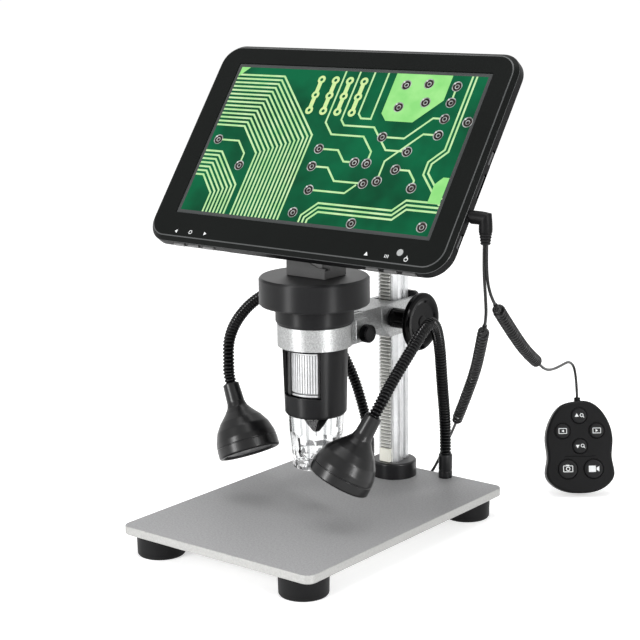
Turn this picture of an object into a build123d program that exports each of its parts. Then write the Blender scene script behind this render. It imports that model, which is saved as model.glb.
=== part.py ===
from build123d import *
import os
from math import atan2, cos, degrees, pi, radians, sin, sqrt, tan

# LCD digital microscope on a rack column. Millimetres, +Z up, front towards -Y.
# The origin is the centre of the base plate's top face, where the specimen lies.

# ---------------------------------------------------------------- base
PLATE_W = 120.0              # base plate, left to right
PLATE_D = 164.0              # base plate, front to back
PLATE_T = 4.4
PLATE_CORNER_R = 5.0
SEAT_DEPTH = 0.4             # shallow seats that locate the column, its ring and the sleeves
SEAT_GAP = 0.1
FOOT_H = 10.9
FOOT_R = 11.8
FOOT_X = 45.6
FOOT_Y = 68.4
FLOOR_Z = -PLATE_T - FOOT_H

# ---------------------------------------------------------------- column
COLUMN_Y = 66.4              # centre line of the column
COLUMN_FRONT_Y = 59.2
COLUMN_BACK_Y = 73.6
COLUMN_TOP_Z = 165.0
RING_R = 12.0
RING_H = 8.7
RACK_W = 6.6
RACK_TOP_Z = 160.0
RACK_PLAIN_TOP_Z = 16.2      # the rack's foot has no teeth
MODULE = 0.6                 # rack and pinion
PINION_TEETH = 15
PITCH = pi * MODULE
PINION_PITCH_R = MODULE * PINION_TEETH / 2
RACK_PITCH_Y = 58.2
PINION_Y = RACK_PITCH_Y - PINION_PITCH_R - 0.15
PINION_Z = 90.0
SHAFT_R = 2.5
KNOB_R = 15.0
KNOB_IN_X = 25.0             # inner face of each focus knob
KNOB_OUT_X = 28.4

# ---------------------------------------------------------------- carriage and scope
SCOPE_Y = -0.7               # optical axis
ARM_HALF_W = 9.0
ARM_TOP_Z = 97.6
ARM_LOW_Z = 86.0
BLOCK_LOW_Z = 80.0
BLOCK_FRONT_Y = 44.0
BLOCK_BACK_Y = 74.2
CHANNEL_HALF_W = 6.3         # the column's way through the carriage
COLLAR_LOW_Z = 84.8
COLLAR_TOP_Z = 96.0
COLLAR_R = 18.9
SCREW_Y = 22.4               # clamp thumb screw
SCREW_Z = 88.0
DISC_R = 27.7
DISC_LOW_Z = 105.7
DISC_TOP_Z = 119.9
NECK_R = 19.7
BODY_TOP_R = 16.5
BODY_LOW_R = 15.65
BODY_LOW_Z = 49.5
WINDOW_LOW_Z = 60.0
WINDOW_TOP_Z = 83.4
WINDOW_HALF_DEG = 48.0
WHEEL_R = 13.3
SNOUT_TOP_R = 14.4
SNOUT_LOW_R = 12.0
SNOUT_LOW_Z = 21.8
LENS_TIP_Z = 40.0

# ---------------------------------------------------------------- monitor
LEAN_DEG = 36.16             # screen leaned back from upright
FACE_CENTRE = (0.0, 9.0, 182.0)
CASE_W = 186.2
CASE_H = 117.8
CASE_CORNER_R = 12.5
CHAMFER = 2.5                # round the front face
SIDE_DEPTH = 8.4
PLATEAU_DEPTH = 10.3
BULGE_DEPTH = 17.5
LCD_W = 154.2                # active area of a 7-inch 16:9 panel
LCD_H = 85.9
LCD_SHIFT = (1.0, 2.0)
LCD_BORDER = 2.0
HINGE_Y = 1.5
HINGE_Z = 131.0
PIN_R = 2.0
BUTTON_U = (-70.0, -60.2, -50.0, 52.6, 63.0, 73.6)
BUTTON_W = 3.9               # depth of the underside buttons behind the face
JACK_V = -26.1
JACK_W = 6.0

# ---------------------------------------------------------------- lamps
SLEEVE_X = 26.0
SLEEVE_Y = 77.4
SLEEVE_R = 3.7
SLEEVE_H = 13.1
GOOSE_R = 2.8
LAMP_R = 15.6
LAMP_L = 35.0
GOOSE_RIGHT = [(26.0, 77.4, 3.0), (26.0, 77.4, 20.5), (27.4, 74.6, 35.0), (31.4, 66.0, 55.9),
               (35.4, 58.0, 78.6), (39.4, 47.6, 92.6), (41.6, 36.5, 92.9), (42.7, 22.0, 82.7),
               (41.9, 8.0, 70.8)]
GOOSE_LEFT = [(-26.0, 77.4, 3.0), (-26.0, 77.4, 19.5), (-29.2, 77.0, 31.5), (-34.2, 75.0, 49.3),
              (-42.8, 66.0, 74.2), (-49.4, 52.0, 93.5), (-55.0, 37.0, 101.0), (-58.2, 22.0, 97.5),
              (-57.6, 6.0, 89.6), (-54.2, -5.2, 80.6), (-51.7, -8.0, 69.6)]
LAMP_RIGHT = ((40.5, -6.0, 55.2), (28.4, -18.0, 24.7))     # neck end, centre of the rim
LAMP_LEFT = ((-50.7, -8.0, 58.2), (-34.5, -12.6, 24.9))

# ---------------------------------------------------------------- plug, cords, handset
PLUG_X = 101.2
PLUG_LOW_Z = 150.8
BOOT_LOW_Z = 145.2
CORD_D = 1.3
COIL_A_R = 3.05
COIL_B_R = 2.8
CORD_A_LEAD = [(101.9, -1.5, 145.2), (102.1, -2.2, 133.0), (101.1, 2.9, 120.5), (99.0, 11.5, 114.0)]
COIL_A = [(99.0, 11.5, 114.0), (93.8, 33.0, 98.0), (87.6, 56.0, 82.8), (80.4, 80.5, 70.5)]
CORD_A_TAIL = [(80.4, 80.5, 70.5), (76.1, 95.2, 63.1), (72.2, 109.5, 59.6), (68.4, 125.0, 58.2),
               (64.6, 141.0, 57.2), (64.1, 148.8, 49.8), (67.0, 145.27, 35.78)]
CORD_B_LEAD = [(100.5, -1.5, 145.2), (100.5, -1.8, 133.6), (101.0, -1.0, 121.8), (99.9, 1.8, 110.8),
               (94.0, 9.3, 103.8)]
COIL_B = [(94.0, 9.3, 103.8), (77.8, 30.0, 84.6), (62.4, 50.0, 69.2), (44.6, 68.0, 48.2),
          (28.0, 84.0, 28.8)]
CORD_B_TAIL = [(28.0, 84.0, 28.8), (22.5, 89.3, 22.4), (15.4, 93.4, 12.6), (9.2, 95.8, 2.4),
               (5.4, 94.9, -5.2), (4.0, 90.4, -7.9), (4.0, 84.5, -7.9)]
GLAND_X = 4.0
GLAND_Z = -7.9
GLAND_END_Y = 84.5
COVER_DEPTH = 6.6
HANDSET_FACE = (75.04, 135.47, 11.3)   # centre of its front; it stands on its end, steadied by its cord
HANDSET_TURN_DEG = 39.4
HANDSET_LEAN_DEG = 18.0
HANDSET_T = 9.0
HANDSET_HALF_OUTLINE = [(8.5, 23.4), (15.4, 15.2), (18.2, 3.4), (17.5, -6.6), (18.5, -15.6), (11.5, -23.0)]
HANDSET_TOP = (0.0, 25.2)
HANDSET_LOW = (0.0, -25.2)
HANDSET_KEYS = {
    "handset_button_up": (0.0, 17.0, 4.3),
    "handset_button_left": (-9.3, 8.8, 4.2),
    "handset_button_right": (9.3, 8.8, 4.2),
    "handset_button_down": (0.0, 0.4, 4.1),
    "handset_button_photo": (-7.0, -12.0, 5.3),
    "handset_button_video": (7.0, -12.0, 5.3),
}
KEY_PROUD = 1.0
KEY_GAP = 0.25

FACE = Plane(origin=FACE_CENTRE, x_dir=(1, 0, 0),
             z_dir=(0, -cos(radians(LEAN_DEG)), sin(radians(LEAN_DEG))))
HANDSET_OUT = Vector(sin(radians(HANDSET_TURN_DEG)) * cos(radians(HANDSET_LEAN_DEG)),
                     -cos(radians(HANDSET_TURN_DEG)) * cos(radians(HANDSET_LEAN_DEG)),
                     sin(radians(HANDSET_LEAN_DEG)))
HANDSET = Plane(origin=Vector(*HANDSET_FACE) - HANDSET_OUT * HANDSET_T,
                x_dir=(cos(radians(HANDSET_TURN_DEG)), sin(radians(HANDSET_TURN_DEG)), 0), z_dir=HANDSET_OUT)
SCOPE_AXIS = Axis((0, SCOPE_Y, 0), (0, 0, 1))


# ---------------------------------------------------------------- helpers
def save(shape, node):
    """Write one sub-part."""
    export_step(shape, f"parts/{node}.step")


def cyl(radius, low, high, x=0.0, y=0.0):
    """An upright cylinder between two heights."""
    return Pos(x, y, (low + high) / 2) * Cylinder(radius, high - low)


def cyl_x(radius, low, high, y, z):
    """A cylinder along X between two x values."""
    return Pos((low + high) / 2, y, z) * Rot(0, 90, 0) * Cylinder(radius, high - low)


def cyl_y(radius, low, high, x, z):
    """A cylinder along Y between two y values."""
    return Pos(x, (low + high) / 2, z) * Rot(90, 0, 0) * Cylinder(radius, high - low)


def block(x0, x1, y0, y1, z0, z1):
    """A box between two corners."""
    return Pos((x0 + x1) / 2, (y0 + y1) / 2, (z0 + z1) / 2) * Box(x1 - x0, y1 - y0, z1 - z0)


def turned(points, y=0.0):
    """A solid of revolution about Z from (radius, z) points."""
    outline = Polyline(*[(r, 0, z) for r, z in points], close=True)
    return Pos(0, y, 0) * revolve(make_face(outline), Axis.Z)


def slab(width, height, corner, front, back):
    """A rounded plate in the screen's own frame, front and back as depths behind the face."""
    plate = extrude(RectangleRounded(width, height, corner), back - front)
    return Pos(0, 0, -back) * plate


def on_face(shape):
    """From the screen's own frame to the object's."""
    return FACE.location * shape


def bend_radii(points):
    """The arc radius at each inner point of a route: 0.45 of the shorter run over tan(half the turn)."""
    radii = []
    for a, b, c in zip(points, points[1:], points[2:]):
        run_in = Vector(*b) - Vector(*a)
        run_out = Vector(*c) - Vector(*b)
        turn = radians(run_in.get_angle(run_out))
        radii.append(0.45 * min(run_in.length, run_out.length) / tan(turn / 2))
    return radii


def tube(points, radius, label):
    """A round tube along straight runs joined by tangent arcs."""
    radii = bend_radii(points)
    path = FilletPolyline(*points, radius=radii)
    section = Plane(origin=path @ 0, z_dir=path % 0) * Circle(radius)
    solid = sweep(section, path=path)
    share = solid.volume / (pi * radius**2 * path.length)
    print(f"{label}: length {path.length:.1f}, tightest radius {min(radii):.1f}, volume share {share:.4f}")
    return solid


# ---------------------------------------------------------------- base pieces
def base_plate():
    plate = extrude(RectangleRounded(PLATE_W, PLATE_D, PLATE_CORNER_R), -PLATE_T)
    plate = chamfer(plate.edges().filter_by(GeomType.LINE).group_by(Axis.Z)[-1], 0.4)
    for x, y in feet_places():
        plate -= cyl(1.55, -PLATE_T, -1.2, x, y)
    plate -= cyl(RING_R + SEAT_GAP, -SEAT_DEPTH, 1, 0, COLUMN_Y)
    for sx in (-1, 1):
        plate -= cyl(SLEEVE_R + SEAT_GAP, -SEAT_DEPTH, 1, sx * SLEEVE_X, SLEEVE_Y)
    return plate


def feet_places():
    return [(sx * FOOT_X, sy * FOOT_Y) for sx in (-1, 1) for sy in (-1, 1)]


def rubber_feet():
    foot = turned([(0, 0), (FOOT_R, 0), (FOOT_R, -2.0), (FOOT_R - 0.5, -FOOT_H + 0.8),
                   (FOOT_R - 1.3, -FOOT_H), (0, -FOOT_H)])
    foot -= cyl(3.6, -FOOT_H, -FOOT_H + 4.4)
    foot -= cyl(1.6, -FOOT_H + 4.4, 0)
    return Compound([Pos(x, y, -PLATE_T) * foot for x, y in feet_places()])


def foot_screws():
    head_z = FLOOR_Z + 4.4
    screw = cyl(3.2, head_z - 2.0, head_z) + cyl(1.5, head_z, -1.4)
    screw -= block(-2.2, 2.2, -0.35, 0.35, head_z - 2.0, head_z - 1.2)
    screw -= block(-0.35, 0.35, -2.2, 2.2, head_z - 2.0, head_z - 1.2)
    return Compound([Pos(x, y, 0) * screw for x, y in feet_places()])


def wiring_cover():
    """Tray under the plate's back edge, where the lamps' wires meet the cable."""
    low = -PLATE_T - COVER_DEPTH
    tray = block(-31, 31, 61, 80.8, low, -PLATE_T)
    tray = fillet(tray.edges().filter_by(Axis.Z), 2.5)
    tray -= block(-29.4, 29.4, 62.6, 79.2, low + 1.5, -PLATE_T)
    return tray - cyl_y(1.5, 78.0, 82.0, GLAND_X, GLAND_Z)


def cable_gland():
    gland = cyl_y(2.5, 80.8, 82.2, GLAND_X, GLAND_Z) + cyl_y(1.9, 82.2, GLAND_END_Y, GLAND_X, GLAND_Z)
    return gland + cyl_y(1.45, 78.4, 80.8, GLAND_X, GLAND_Z)


def gooseneck_sleeves():
    sleeve = cyl(SLEEVE_R, -SEAT_DEPTH, SLEEVE_H)
    sleeve = chamfer(sleeve.edges().group_by(Axis.Z)[-1], 0.5)
    sleeve -= cyl(GOOSE_R + 0.08, 2.7, SLEEVE_H)
    return Compound([Pos(sx * SLEEVE_X, SLEEVE_Y, 0) * sleeve for sx in (-1, 1)])


# ---------------------------------------------------------------- column pieces
def column_profile(grow=0.0):
    """Front lip, round rib, groove and back facet on each side."""
    g = grow
    right = [(4.7 + g, COLUMN_FRONT_Y - g), (4.7 + g, COLUMN_FRONT_Y + 0.6)]
    rib_end = (4.7 + g, COLUMN_FRONT_Y + 9.2)
    back = [(3.9 + g, COLUMN_FRONT_Y + 9.7), (3.9 + g, COLUMN_FRONT_Y + 10.3), (5.0 + g, COLUMN_FRONT_Y + 10.8),
            (5.0 + g, COLUMN_BACK_Y - 1.0), (4.0 + g, COLUMN_BACK_Y + g)]
    edges = Polyline((-right[0][0], right[0][1]), right[0], right[1])
    rib_mid = (5.7 + g, COLUMN_FRONT_Y + 4.9)
    edges += ThreePointArc(right[1], rib_mid, rib_end)
    edges += Polyline(rib_end, *back, *[(-x, y) for x, y in reversed(back)], (-rib_end[0], rib_end[1]))
    edges += ThreePointArc((-rib_end[0], rib_end[1]), (-rib_mid[0], rib_mid[1]), (-right[1][0], right[1][1]))
    edges += Line((-right[1][0], right[1][1]), (-right[0][0], right[0][1]))
    return make_face(edges)


def column():
    return Pos(0, 0, -SEAT_DEPTH) * extrude(column_profile(), COLUMN_TOP_Z + SEAT_DEPTH)


def gear_rack():
    """Toothed strip on the column's front; a gap between teeth faces the pinion at rest."""
    tip_y = RACK_PITCH_Y - MODULE
    root_y = RACK_PITCH_Y + 1.25 * MODULE
    slope = tan(radians(20))
    half_tip = PITCH / 4 - MODULE * slope
    half_root = PITCH / 4 + 1.25 * MODULE * slope
    points = [(COLUMN_FRONT_Y, RING_H + 0.1), (tip_y, RING_H + 0.1), (tip_y, RACK_PLAIN_TOP_Z)]
    first = int((RACK_PLAIN_TOP_Z + 1.6 - PINION_Z) / PITCH)
    last = int((RACK_TOP_Z - 1.0 - PINION_Z) / PITCH)
    points.append((root_y, RACK_PLAIN_TOP_Z + 0.4))
    for k in range(first, last):
        z = PINION_Z + (k + 0.5) * PITCH
        points += [(root_y, z - half_root), (tip_y, z - half_tip), (tip_y, z + half_tip), (root_y, z + half_root)]
    points += [(root_y, RACK_TOP_Z), (COLUMN_FRONT_Y, RACK_TOP_Z)]
    face = make_face(Polyline(*[(-RACK_W / 2, y, z) for y, z in points], close=True))
    return extrude(face, RACK_W, dir=(1, 0, 0))


def column_base_ring():
    ring = cyl(RING_R, -SEAT_DEPTH, RING_H, 0, COLUMN_Y)
    ring = chamfer(ring.edges().group_by(Axis.Z)[-1], 0.7)
    return ring - Pos(0, 0, -SEAT_DEPTH) * extrude(column_profile(0.12), RING_H + SEAT_DEPTH)


def column_top_cap():
    cap = extrude(column_profile(0.6), 3.0)
    return Pos(0, 0, COLUMN_TOP_Z) * cap


# ---------------------------------------------------------------- carriage pieces
def carriage_arm():
    """Cast collar, arm and rack housing in one piece."""
    side = [(12.0, ARM_LOW_Z), (BLOCK_FRONT_Y, ARM_LOW_Z), (51.0, BLOCK_LOW_Z), (BLOCK_BACK_Y, BLOCK_LOW_Z),
            (BLOCK_BACK_Y, ARM_TOP_Z), (12.0, ARM_TOP_Z)]
    face = make_face(Polyline(*[(-ARM_HALF_W, y, z) for y, z in side], close=True))
    arm = extrude(face, 2 * ARM_HALF_W, dir=(1, 0, 0))
    step = 0.45                          # the arm is a little narrower than the rack housing
    for sx in (-1, 1):
        x0, x1 = sorted((sx * (ARM_HALF_W - step), sx * (ARM_HALF_W + 1)))
        arm -= block(x0, x1, 27.5, BLOCK_FRONT_Y, ARM_LOW_Z - 1, ARM_TOP_Z + 1)
    arm -= cyl(NECK_R + 0.5, COLLAR_TOP_Z, ARM_TOP_Z + 1, 0, SCOPE_Y)
    collar = cyl(COLLAR_R, COLLAR_LOW_Z, COLLAR_TOP_Z, 0, SCOPE_Y)
    ear = block(7.4, 10.2, 8.0, 26.5, 82.4, 94.0)
    arm += collar + ear
    arm -= cyl(BODY_TOP_R + 0.1, 80, COLLAR_TOP_Z + 1, 0, SCOPE_Y)
    arm -= block(5.7, 7.4, 12.0, 27.5, 80, ARM_TOP_Z + 1)
    arm -= block(5.7, ARM_HALF_W + 2, 26.5, 27.5, 80, ARM_TOP_Z + 1)
    arm -= block(-CHANNEL_HALF_W, CHANNEL_HALF_W, RACK_PITCH_Y - MODULE - 0.4, BLOCK_BACK_Y + 1,
                 BLOCK_LOW_Z - 1, ARM_TOP_Z + 1)
    arm -= cyl_x(MODULE * (PINION_TEETH / 2 + 1) + 0.4, -3.4, 3.4, PINION_Y, PINION_Z)
    arm -= cyl_x(SHAFT_R + 0.05, -ARM_HALF_W - 1, ARM_HALF_W + 1, PINION_Y, PINION_Z)
    arm -= cyl_x(1.55, -2.0, 11, SCREW_Y, SCREW_Z)
    return arm


def carriage_rear_plate():
    """Black plate that closes the rack housing behind the column."""
    plate = block(-9.6, 9.6, BLOCK_BACK_Y, BLOCK_BACK_Y + 2.0, BLOCK_LOW_Z, 100.6)
    plate = fillet(plate.edges().filter_by(Axis.Y).group_by(Axis.Z)[-1], 2.6)
    for sx in (-1, 1):
        for z in (83.2, 94.4):
            plate += cyl_y(1.5, BLOCK_BACK_Y + 2.0, BLOCK_BACK_Y + 3.0, sx * 7.6, z)
    return plate


def pinion_shaft():
    """Shaft across the carriage with a toothed pinion at its middle."""
    tip_r = PINION_PITCH_R + MODULE
    root_r = PINION_PITCH_R - 1.2 * MODULE
    half_root = PITCH / 4 / PINION_PITCH_R * 1.15
    half_tip = PITCH / 4 / PINION_PITCH_R * 0.36
    points = []
    for k in range(PINION_TEETH):
        middle = 2 * pi * k / PINION_TEETH
        for radius, offset in ((root_r, -half_root), (tip_r, -half_tip), (tip_r, half_tip), (root_r, half_root)):
            angle = middle + offset
            points.append((-3.0, PINION_Y + radius * cos(angle), PINION_Z + radius * sin(angle)))
    gear = extrude(make_face(Polyline(*points, close=True)), 6.0, dir=(1, 0, 0))
    return gear + cyl_x(SHAFT_R, -KNOB_OUT_X + 1.2, KNOB_OUT_X - 1.2, PINION_Y, PINION_Z)


def focus_knob(sx):
    """Thick disc with a hub, on one end of the pinion shaft."""
    profile = [(0, 9.4), (5.2, 9.4), (5.2, KNOB_IN_X - 0.6), (KNOB_R - 1.6, KNOB_IN_X - 0.6),
               (KNOB_R, KNOB_IN_X + 0.4), (KNOB_R, KNOB_OUT_X - 1.2), (KNOB_R - 1.2, KNOB_OUT_X),
               (KNOB_R - 3.0, KNOB_OUT_X - 0.7), (0, KNOB_OUT_X - 0.7)]
    knob = turned(profile)
    knob -= cyl(SHAFT_R + 0.02, 9.0, KNOB_OUT_X - 1.18)
    return Pos(0, PINION_Y, PINION_Z) * Rot(0, 90 * sx, 0) * knob


def clamp_thumb_screw():
    screw = cyl_x(1.5, -1.6, 12.6, SCREW_Y, SCREW_Z) + cyl_x(2.3, 10.55, 12.6, SCREW_Y, SCREW_Z)
    head = cyl_x(4.9, 12.4, 18.4, SCREW_Y, SCREW_Z)
    head = chamfer(head.edges().filter_by(GeomType.CIRCLE), 0.5)
    notches = 24
    for k in range(notches):
        angle = 2 * pi * k / notches
        y = SCREW_Y + 5.1 * cos(angle)
        z = SCREW_Z + 5.1 * sin(angle)
        head -= cyl_x(0.4, 12.0, 18.8, y, z)
    return screw + head


# ---------------------------------------------------------------- scope pieces
def disc_housing():
    """Large disc and the neck below it, hollow, open downwards."""
    outer = [(17.2, COLLAR_TOP_Z + 0.1), (NECK_R - 0.8, COLLAR_TOP_Z + 0.1), (NECK_R, COLLAR_TOP_Z + 1.5),
             (NECK_R, DISC_LOW_Z), (DISC_R - 0.5, DISC_LOW_Z), (DISC_R, DISC_LOW_Z + 0.6),
             (DISC_R, DISC_TOP_Z - 0.8), (DISC_R - 0.8, DISC_TOP_Z), (0, DISC_TOP_Z)]
    inner = [(0, DISC_TOP_Z - 2.4), (DISC_R - 2.2, DISC_TOP_Z - 2.4), (DISC_R - 2.2, DISC_LOW_Z + 2.0),
             (17.2, DISC_LOW_Z + 2.0)]
    return turned(outer + inner, SCOPE_Y)


def body_radius(z):
    """The scope body's outer radius at a height."""
    if z > COLLAR_LOW_Z:
        return BODY_TOP_R
    return BODY_LOW_R + (BODY_TOP_R - BODY_LOW_R) * (z - BODY_LOW_Z) / (COLLAR_LOW_Z - BODY_LOW_Z)


def scope_body():
    """Tapered tube with a front window for the focus wheel and a floor with the lens hole."""
    wall = 1.7
    outer = [(BODY_LOW_R - 1.0, BODY_LOW_Z), (BODY_LOW_R, BODY_LOW_Z + 1.2), (BODY_TOP_R, COLLAR_LOW_Z),
             (BODY_TOP_R, 103.0)]
    inner = [(BODY_TOP_R - wall, 103.0), (BODY_TOP_R - wall, COLLAR_LOW_Z), (BODY_LOW_R - wall, BODY_LOW_Z + 3.6),
             (6.9, BODY_LOW_Z + 3.6), (6.9, BODY_LOW_Z + 2.0), (SNOUT_TOP_R + 0.05, BODY_LOW_Z + 2.0),
             (SNOUT_TOP_R + 0.05, BODY_LOW_Z)]
    body = turned(outer + inner, SCOPE_Y)
    reach = 30.0
    side = reach * sin(radians(WINDOW_HALF_DEG))
    front = -reach * cos(radians(WINDOW_HALF_DEG))
    wedge = make_face(Polyline((0, 0), (side, front), (0, -reach * 1.2), (-side, front), close=True))
    window = Pos(0, SCOPE_Y, WINDOW_LOW_Z) * extrude(wedge, WINDOW_TOP_Z - WINDOW_LOW_Z)
    return body - (window - cyl(WHEEL_R + 0.1, WINDOW_LOW_Z - 1, WINDOW_TOP_Z + 1, 0, SCOPE_Y))


def focus_wheel():
    """Ribbed ring round the lens barrel, turned through the window."""
    ribs = 72
    points = []
    for k in range(ribs):
        for radius, part in ((WHEEL_R - 0.35, 0.0), (WHEEL_R, 0.3), (WHEEL_R, 0.7)):
            angle = 2 * pi * (k + part) / ribs
            points.append((radius * cos(angle), radius * sin(angle)))
    low = WINDOW_LOW_Z + 0.35
    wheel = extrude(make_face(Polyline(*points, close=True)), WINDOW_TOP_Z - WINDOW_LOW_Z - 0.7)
    wheel = Pos(0, SCOPE_Y, low) * wheel
    return wheel - cyl(8.4, low - 1, WINDOW_TOP_Z + 1, 0, SCOPE_Y)


def lens_barrel():
    """Moving tube with the objective at its lower end."""
    outer = [(2.6, LENS_TIP_Z), (3.4, LENS_TIP_Z), (6.3, 44.0), (6.6, 46.0), (6.6, 56.0), (8.1, 57.0),
             (8.1, 80.0), (6.4, 80.0), (6.4, 58.0), (5.0, 46.5), (2.6, 42.2)]
    return turned(outer, SCOPE_Y)


def sensor_board():
    board = cyl(14.0, 88.0, 89.4, 0, SCOPE_Y)
    chip = block(-4.5, 4.5, SCOPE_Y - 4.5, SCOPE_Y + 4.5, 86.4, 88.0)
    return board + chip


def ring_light_board():
    """Eight small lights on a ring, shining down the clear snout."""
    low = BODY_LOW_Z + 0.4
    board = cyl(13.0, low, BODY_LOW_Z + 1.9, 0, SCOPE_Y) - cyl(7.6, low - 1, low + 4, 0, SCOPE_Y)
    for k in range(8):
        angle = 2 * pi * (k + 0.5) / 8
        board += cyl(1.2, low - 1.0, low, 10.2 * cos(angle), SCOPE_Y + 10.2 * sin(angle))
    return board


def clear_snout():
    wall = 1.5
    top_z = BODY_LOW_Z + 1.9
    lip_z = BODY_LOW_Z - 0.2
    outer = [(SNOUT_LOW_R - 0.5, SNOUT_LOW_Z), (SNOUT_LOW_R, SNOUT_LOW_Z + 0.8), (SNOUT_TOP_R, lip_z),
             (SNOUT_TOP_R, top_z), (SNOUT_TOP_R - 1.2, top_z), (SNOUT_TOP_R - 1.2, lip_z),
             (SNOUT_LOW_R - wall, SNOUT_LOW_Z)]
    return turned(outer, SCOPE_Y)


# ---------------------------------------------------------------- hinge pieces
def hinge_bracket():
    """Foot, front plate and two ears that stand on the disc."""
    foot = block(-12.2, 12.2, -6.7, 9.7, DISC_TOP_Z, 124.2)
    outline = [(-12.2, DISC_TOP_Z), (12.2, DISC_TOP_Z), (12.2, 125.4), (8.0, 125.6), (1.0, 128.1), (-12.2, 128.1)]
    plate = extrude(make_face(Polyline(*[(x, -6.7, z) for x, z in outline], close=True)), 1.0, dir=(0, -1, 0))
    bracket = foot + plate
    for sx in (-1, 1):
        x0, x1 = sorted((sx * 7.4, sx * 12.2))
        bracket += block(x0, x1, HINGE_Y - 5.2, HINGE_Y + 5.2, 124.2, HINGE_Z)
        bracket += cyl_x(5.2, x0, x1, HINGE_Y, HINGE_Z)
    return bracket - cyl_x(PIN_R + 0.05, -20, 20, HINGE_Y, HINGE_Z)


def hinge_pin():
    pin = cyl_x(PIN_R, -12.5, 12.5, HINGE_Y, HINGE_Z)
    for sx in (-1, 1):
        x0, x1 = sorted((sx * 12.5, sx * 13.7))
        pin += cyl_x(3.2, x0, x1, HINGE_Y, HINGE_Z)
    return pin


def hinge_arm():
    """Knuckle from the monitor's back to the pin, between the ears."""
    axis_v, axis_w = hinge_on_face()
    arm = block(-6.9, 6.9, axis_v - 3.4, axis_v + 3.4, axis_w, -PLATEAU_DEPTH)
    arm += Pos(0, axis_v, axis_w) * Rot(0, 90, 0) * Cylinder(3.4, 13.8)
    arm += block(-16, 16, axis_v - 3.4, axis_v + 9, -PLATEAU_DEPTH - 1.6, -PLATEAU_DEPTH)
    return on_face(arm) - cyl_x(PIN_R + 0.01, -20, 20, HINGE_Y, HINGE_Z)


def hinge_on_face():
    """The hinge axis in the screen's own frame."""
    local = FACE.to_local_coords(Vector(0, HINGE_Y, HINGE_Z))
    return local.Y, local.Z


# ---------------------------------------------------------------- monitor pieces
def front_bezel():
    """Flat frame with a chamfered edge round the screen window."""
    frame = slab(CASE_W, CASE_H, CASE_CORNER_R, 0, CHAMFER)
    frame = chamfer(frame.edges().group_by(Axis.Z)[-1], CHAMFER - 0.15)
    window = extrude(Rectangle(LCD_W + 2 * LCD_BORDER, LCD_H + 2 * LCD_BORDER), 20)
    frame -= Pos(*LCD_SHIFT, -10) * window
    return on_face(frame)


def rear_cover():
    """Tub with side walls, a shallow plateau and a deep battery bulge."""
    wall = 1.8
    tub = slab(CASE_W, CASE_H, CASE_CORNER_R, CHAMFER, SIDE_DEPTH)
    tub = chamfer(tub.edges().group_by(Axis.Z)[0], 2.0)
    plateau = Pos(0, -1.0, 0) * slab(92, CASE_H - 4.4, 5, SIDE_DEPTH - 1.0, PLATEAU_DEPTH)
    plateau = chamfer(plateau.edges().group_by(Axis.Z)[0], 0.8)
    bulge = Pos(0, 6.0, 0) * slab(84, 84, 8, PLATEAU_DEPTH - 1.0, BULGE_DEPTH)
    bulge = chamfer(bulge.edges().group_by(Axis.Z)[0], 3.0)
    cover = tub + plateau + bulge
    cover -= slab(CASE_W - 2 * wall, CASE_H - 2 * wall, CASE_CORNER_R - wall, 0, SIDE_DEPTH - wall)
    cover -= Pos(0, 6.0, 0) * slab(84 - 2 * wall, 84 - 2 * wall, 6.2, SIDE_DEPTH - wall - 1, BULGE_DEPTH - wall)
    for u in BUTTON_U:
        cover -= Pos(u, -CASE_H / 2, -BUTTON_W) * Box(7.6, 6, 2.4)
    for v, length, height in ((4.4, 8.0, 2.8), (-10.7, 13.0, 2.2), (-39.6, 7.4, 2.8)):
        cover -= Pos(CASE_W / 2, v, -JACK_W + 0.6) * Box(2.6, length, height)
    cover -= Pos(CASE_W / 2, JACK_V, -JACK_W) * Rot(0, 90, 0) * Cylinder(1.9, 12)
    for u, v in screw_places():
        cover -= Pos(u, v, -SIDE_DEPTH + 0.5) * Cylinder(2.5, 1.3) + Pos(u, v, -SIDE_DEPTH) * Cylinder(1.2, 6)
    return on_face(cover)


def lcd_panel():
    panel = slab(LCD_W + 10, LCD_H + 8, 1.0, CHAMFER + 0.05, CHAMFER + 3.2)
    glass = slab(LCD_W + 2 * LCD_BORDER - 0.2, LCD_H + 2 * LCD_BORDER - 0.2, 0.4, 0.5, CHAMFER + 0.1)
    return on_face(Pos(*LCD_SHIFT, 0) * (panel + glass))


def main_board():
    board = Pos(5, 8, 0) * slab(62, 60, 1, 7.4, 9.0)
    for u, v, w, h in ((-6, 14, 14, 14), (22, 18, 10, 8), (18, -6, 16, 6)):
        board += Pos(u, v, 0) * slab(w, h, 0.3, 9.0, 10.6)
    return on_face(board)


def battery_pack():
    return on_face(Pos(-10, 8, 0) * slab(52, 60, 2.0, 11.0, 15.4))


def screw_places():
    return [(sx * (CASE_W / 2 - 9), sy * (CASE_H / 2 - 9)) for sx in (-1, 1) for sy in (-1, 1)]


def case_screws():
    """Four screws through the rear cover."""
    screw = Pos(0, 0, -SIDE_DEPTH + 0.5) * Cylinder(2.4, 1.2) + Pos(0, 0, -5.6) * Cylinder(1.1, 5.0)
    return Compound([on_face(Pos(u, v, 0) * screw) for u, v in screw_places()])


def menu_button(u):
    """One key in the case's underside, with a flange inside."""
    wall_v = -CASE_H / 2
    key = block(u - 3.5, u + 3.5, wall_v - 0.8, wall_v + 2.4, -BUTTON_W - 1.0, -BUTTON_W + 1.0)
    key = fillet(key.edges().filter_by(Axis.Y), 0.45)
    key += block(u - 4.2, u + 4.2, wall_v + 2.1, wall_v + 2.9, -BUTTON_W - 1.3, -BUTTON_W + 1.3)
    return on_face(key)


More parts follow.
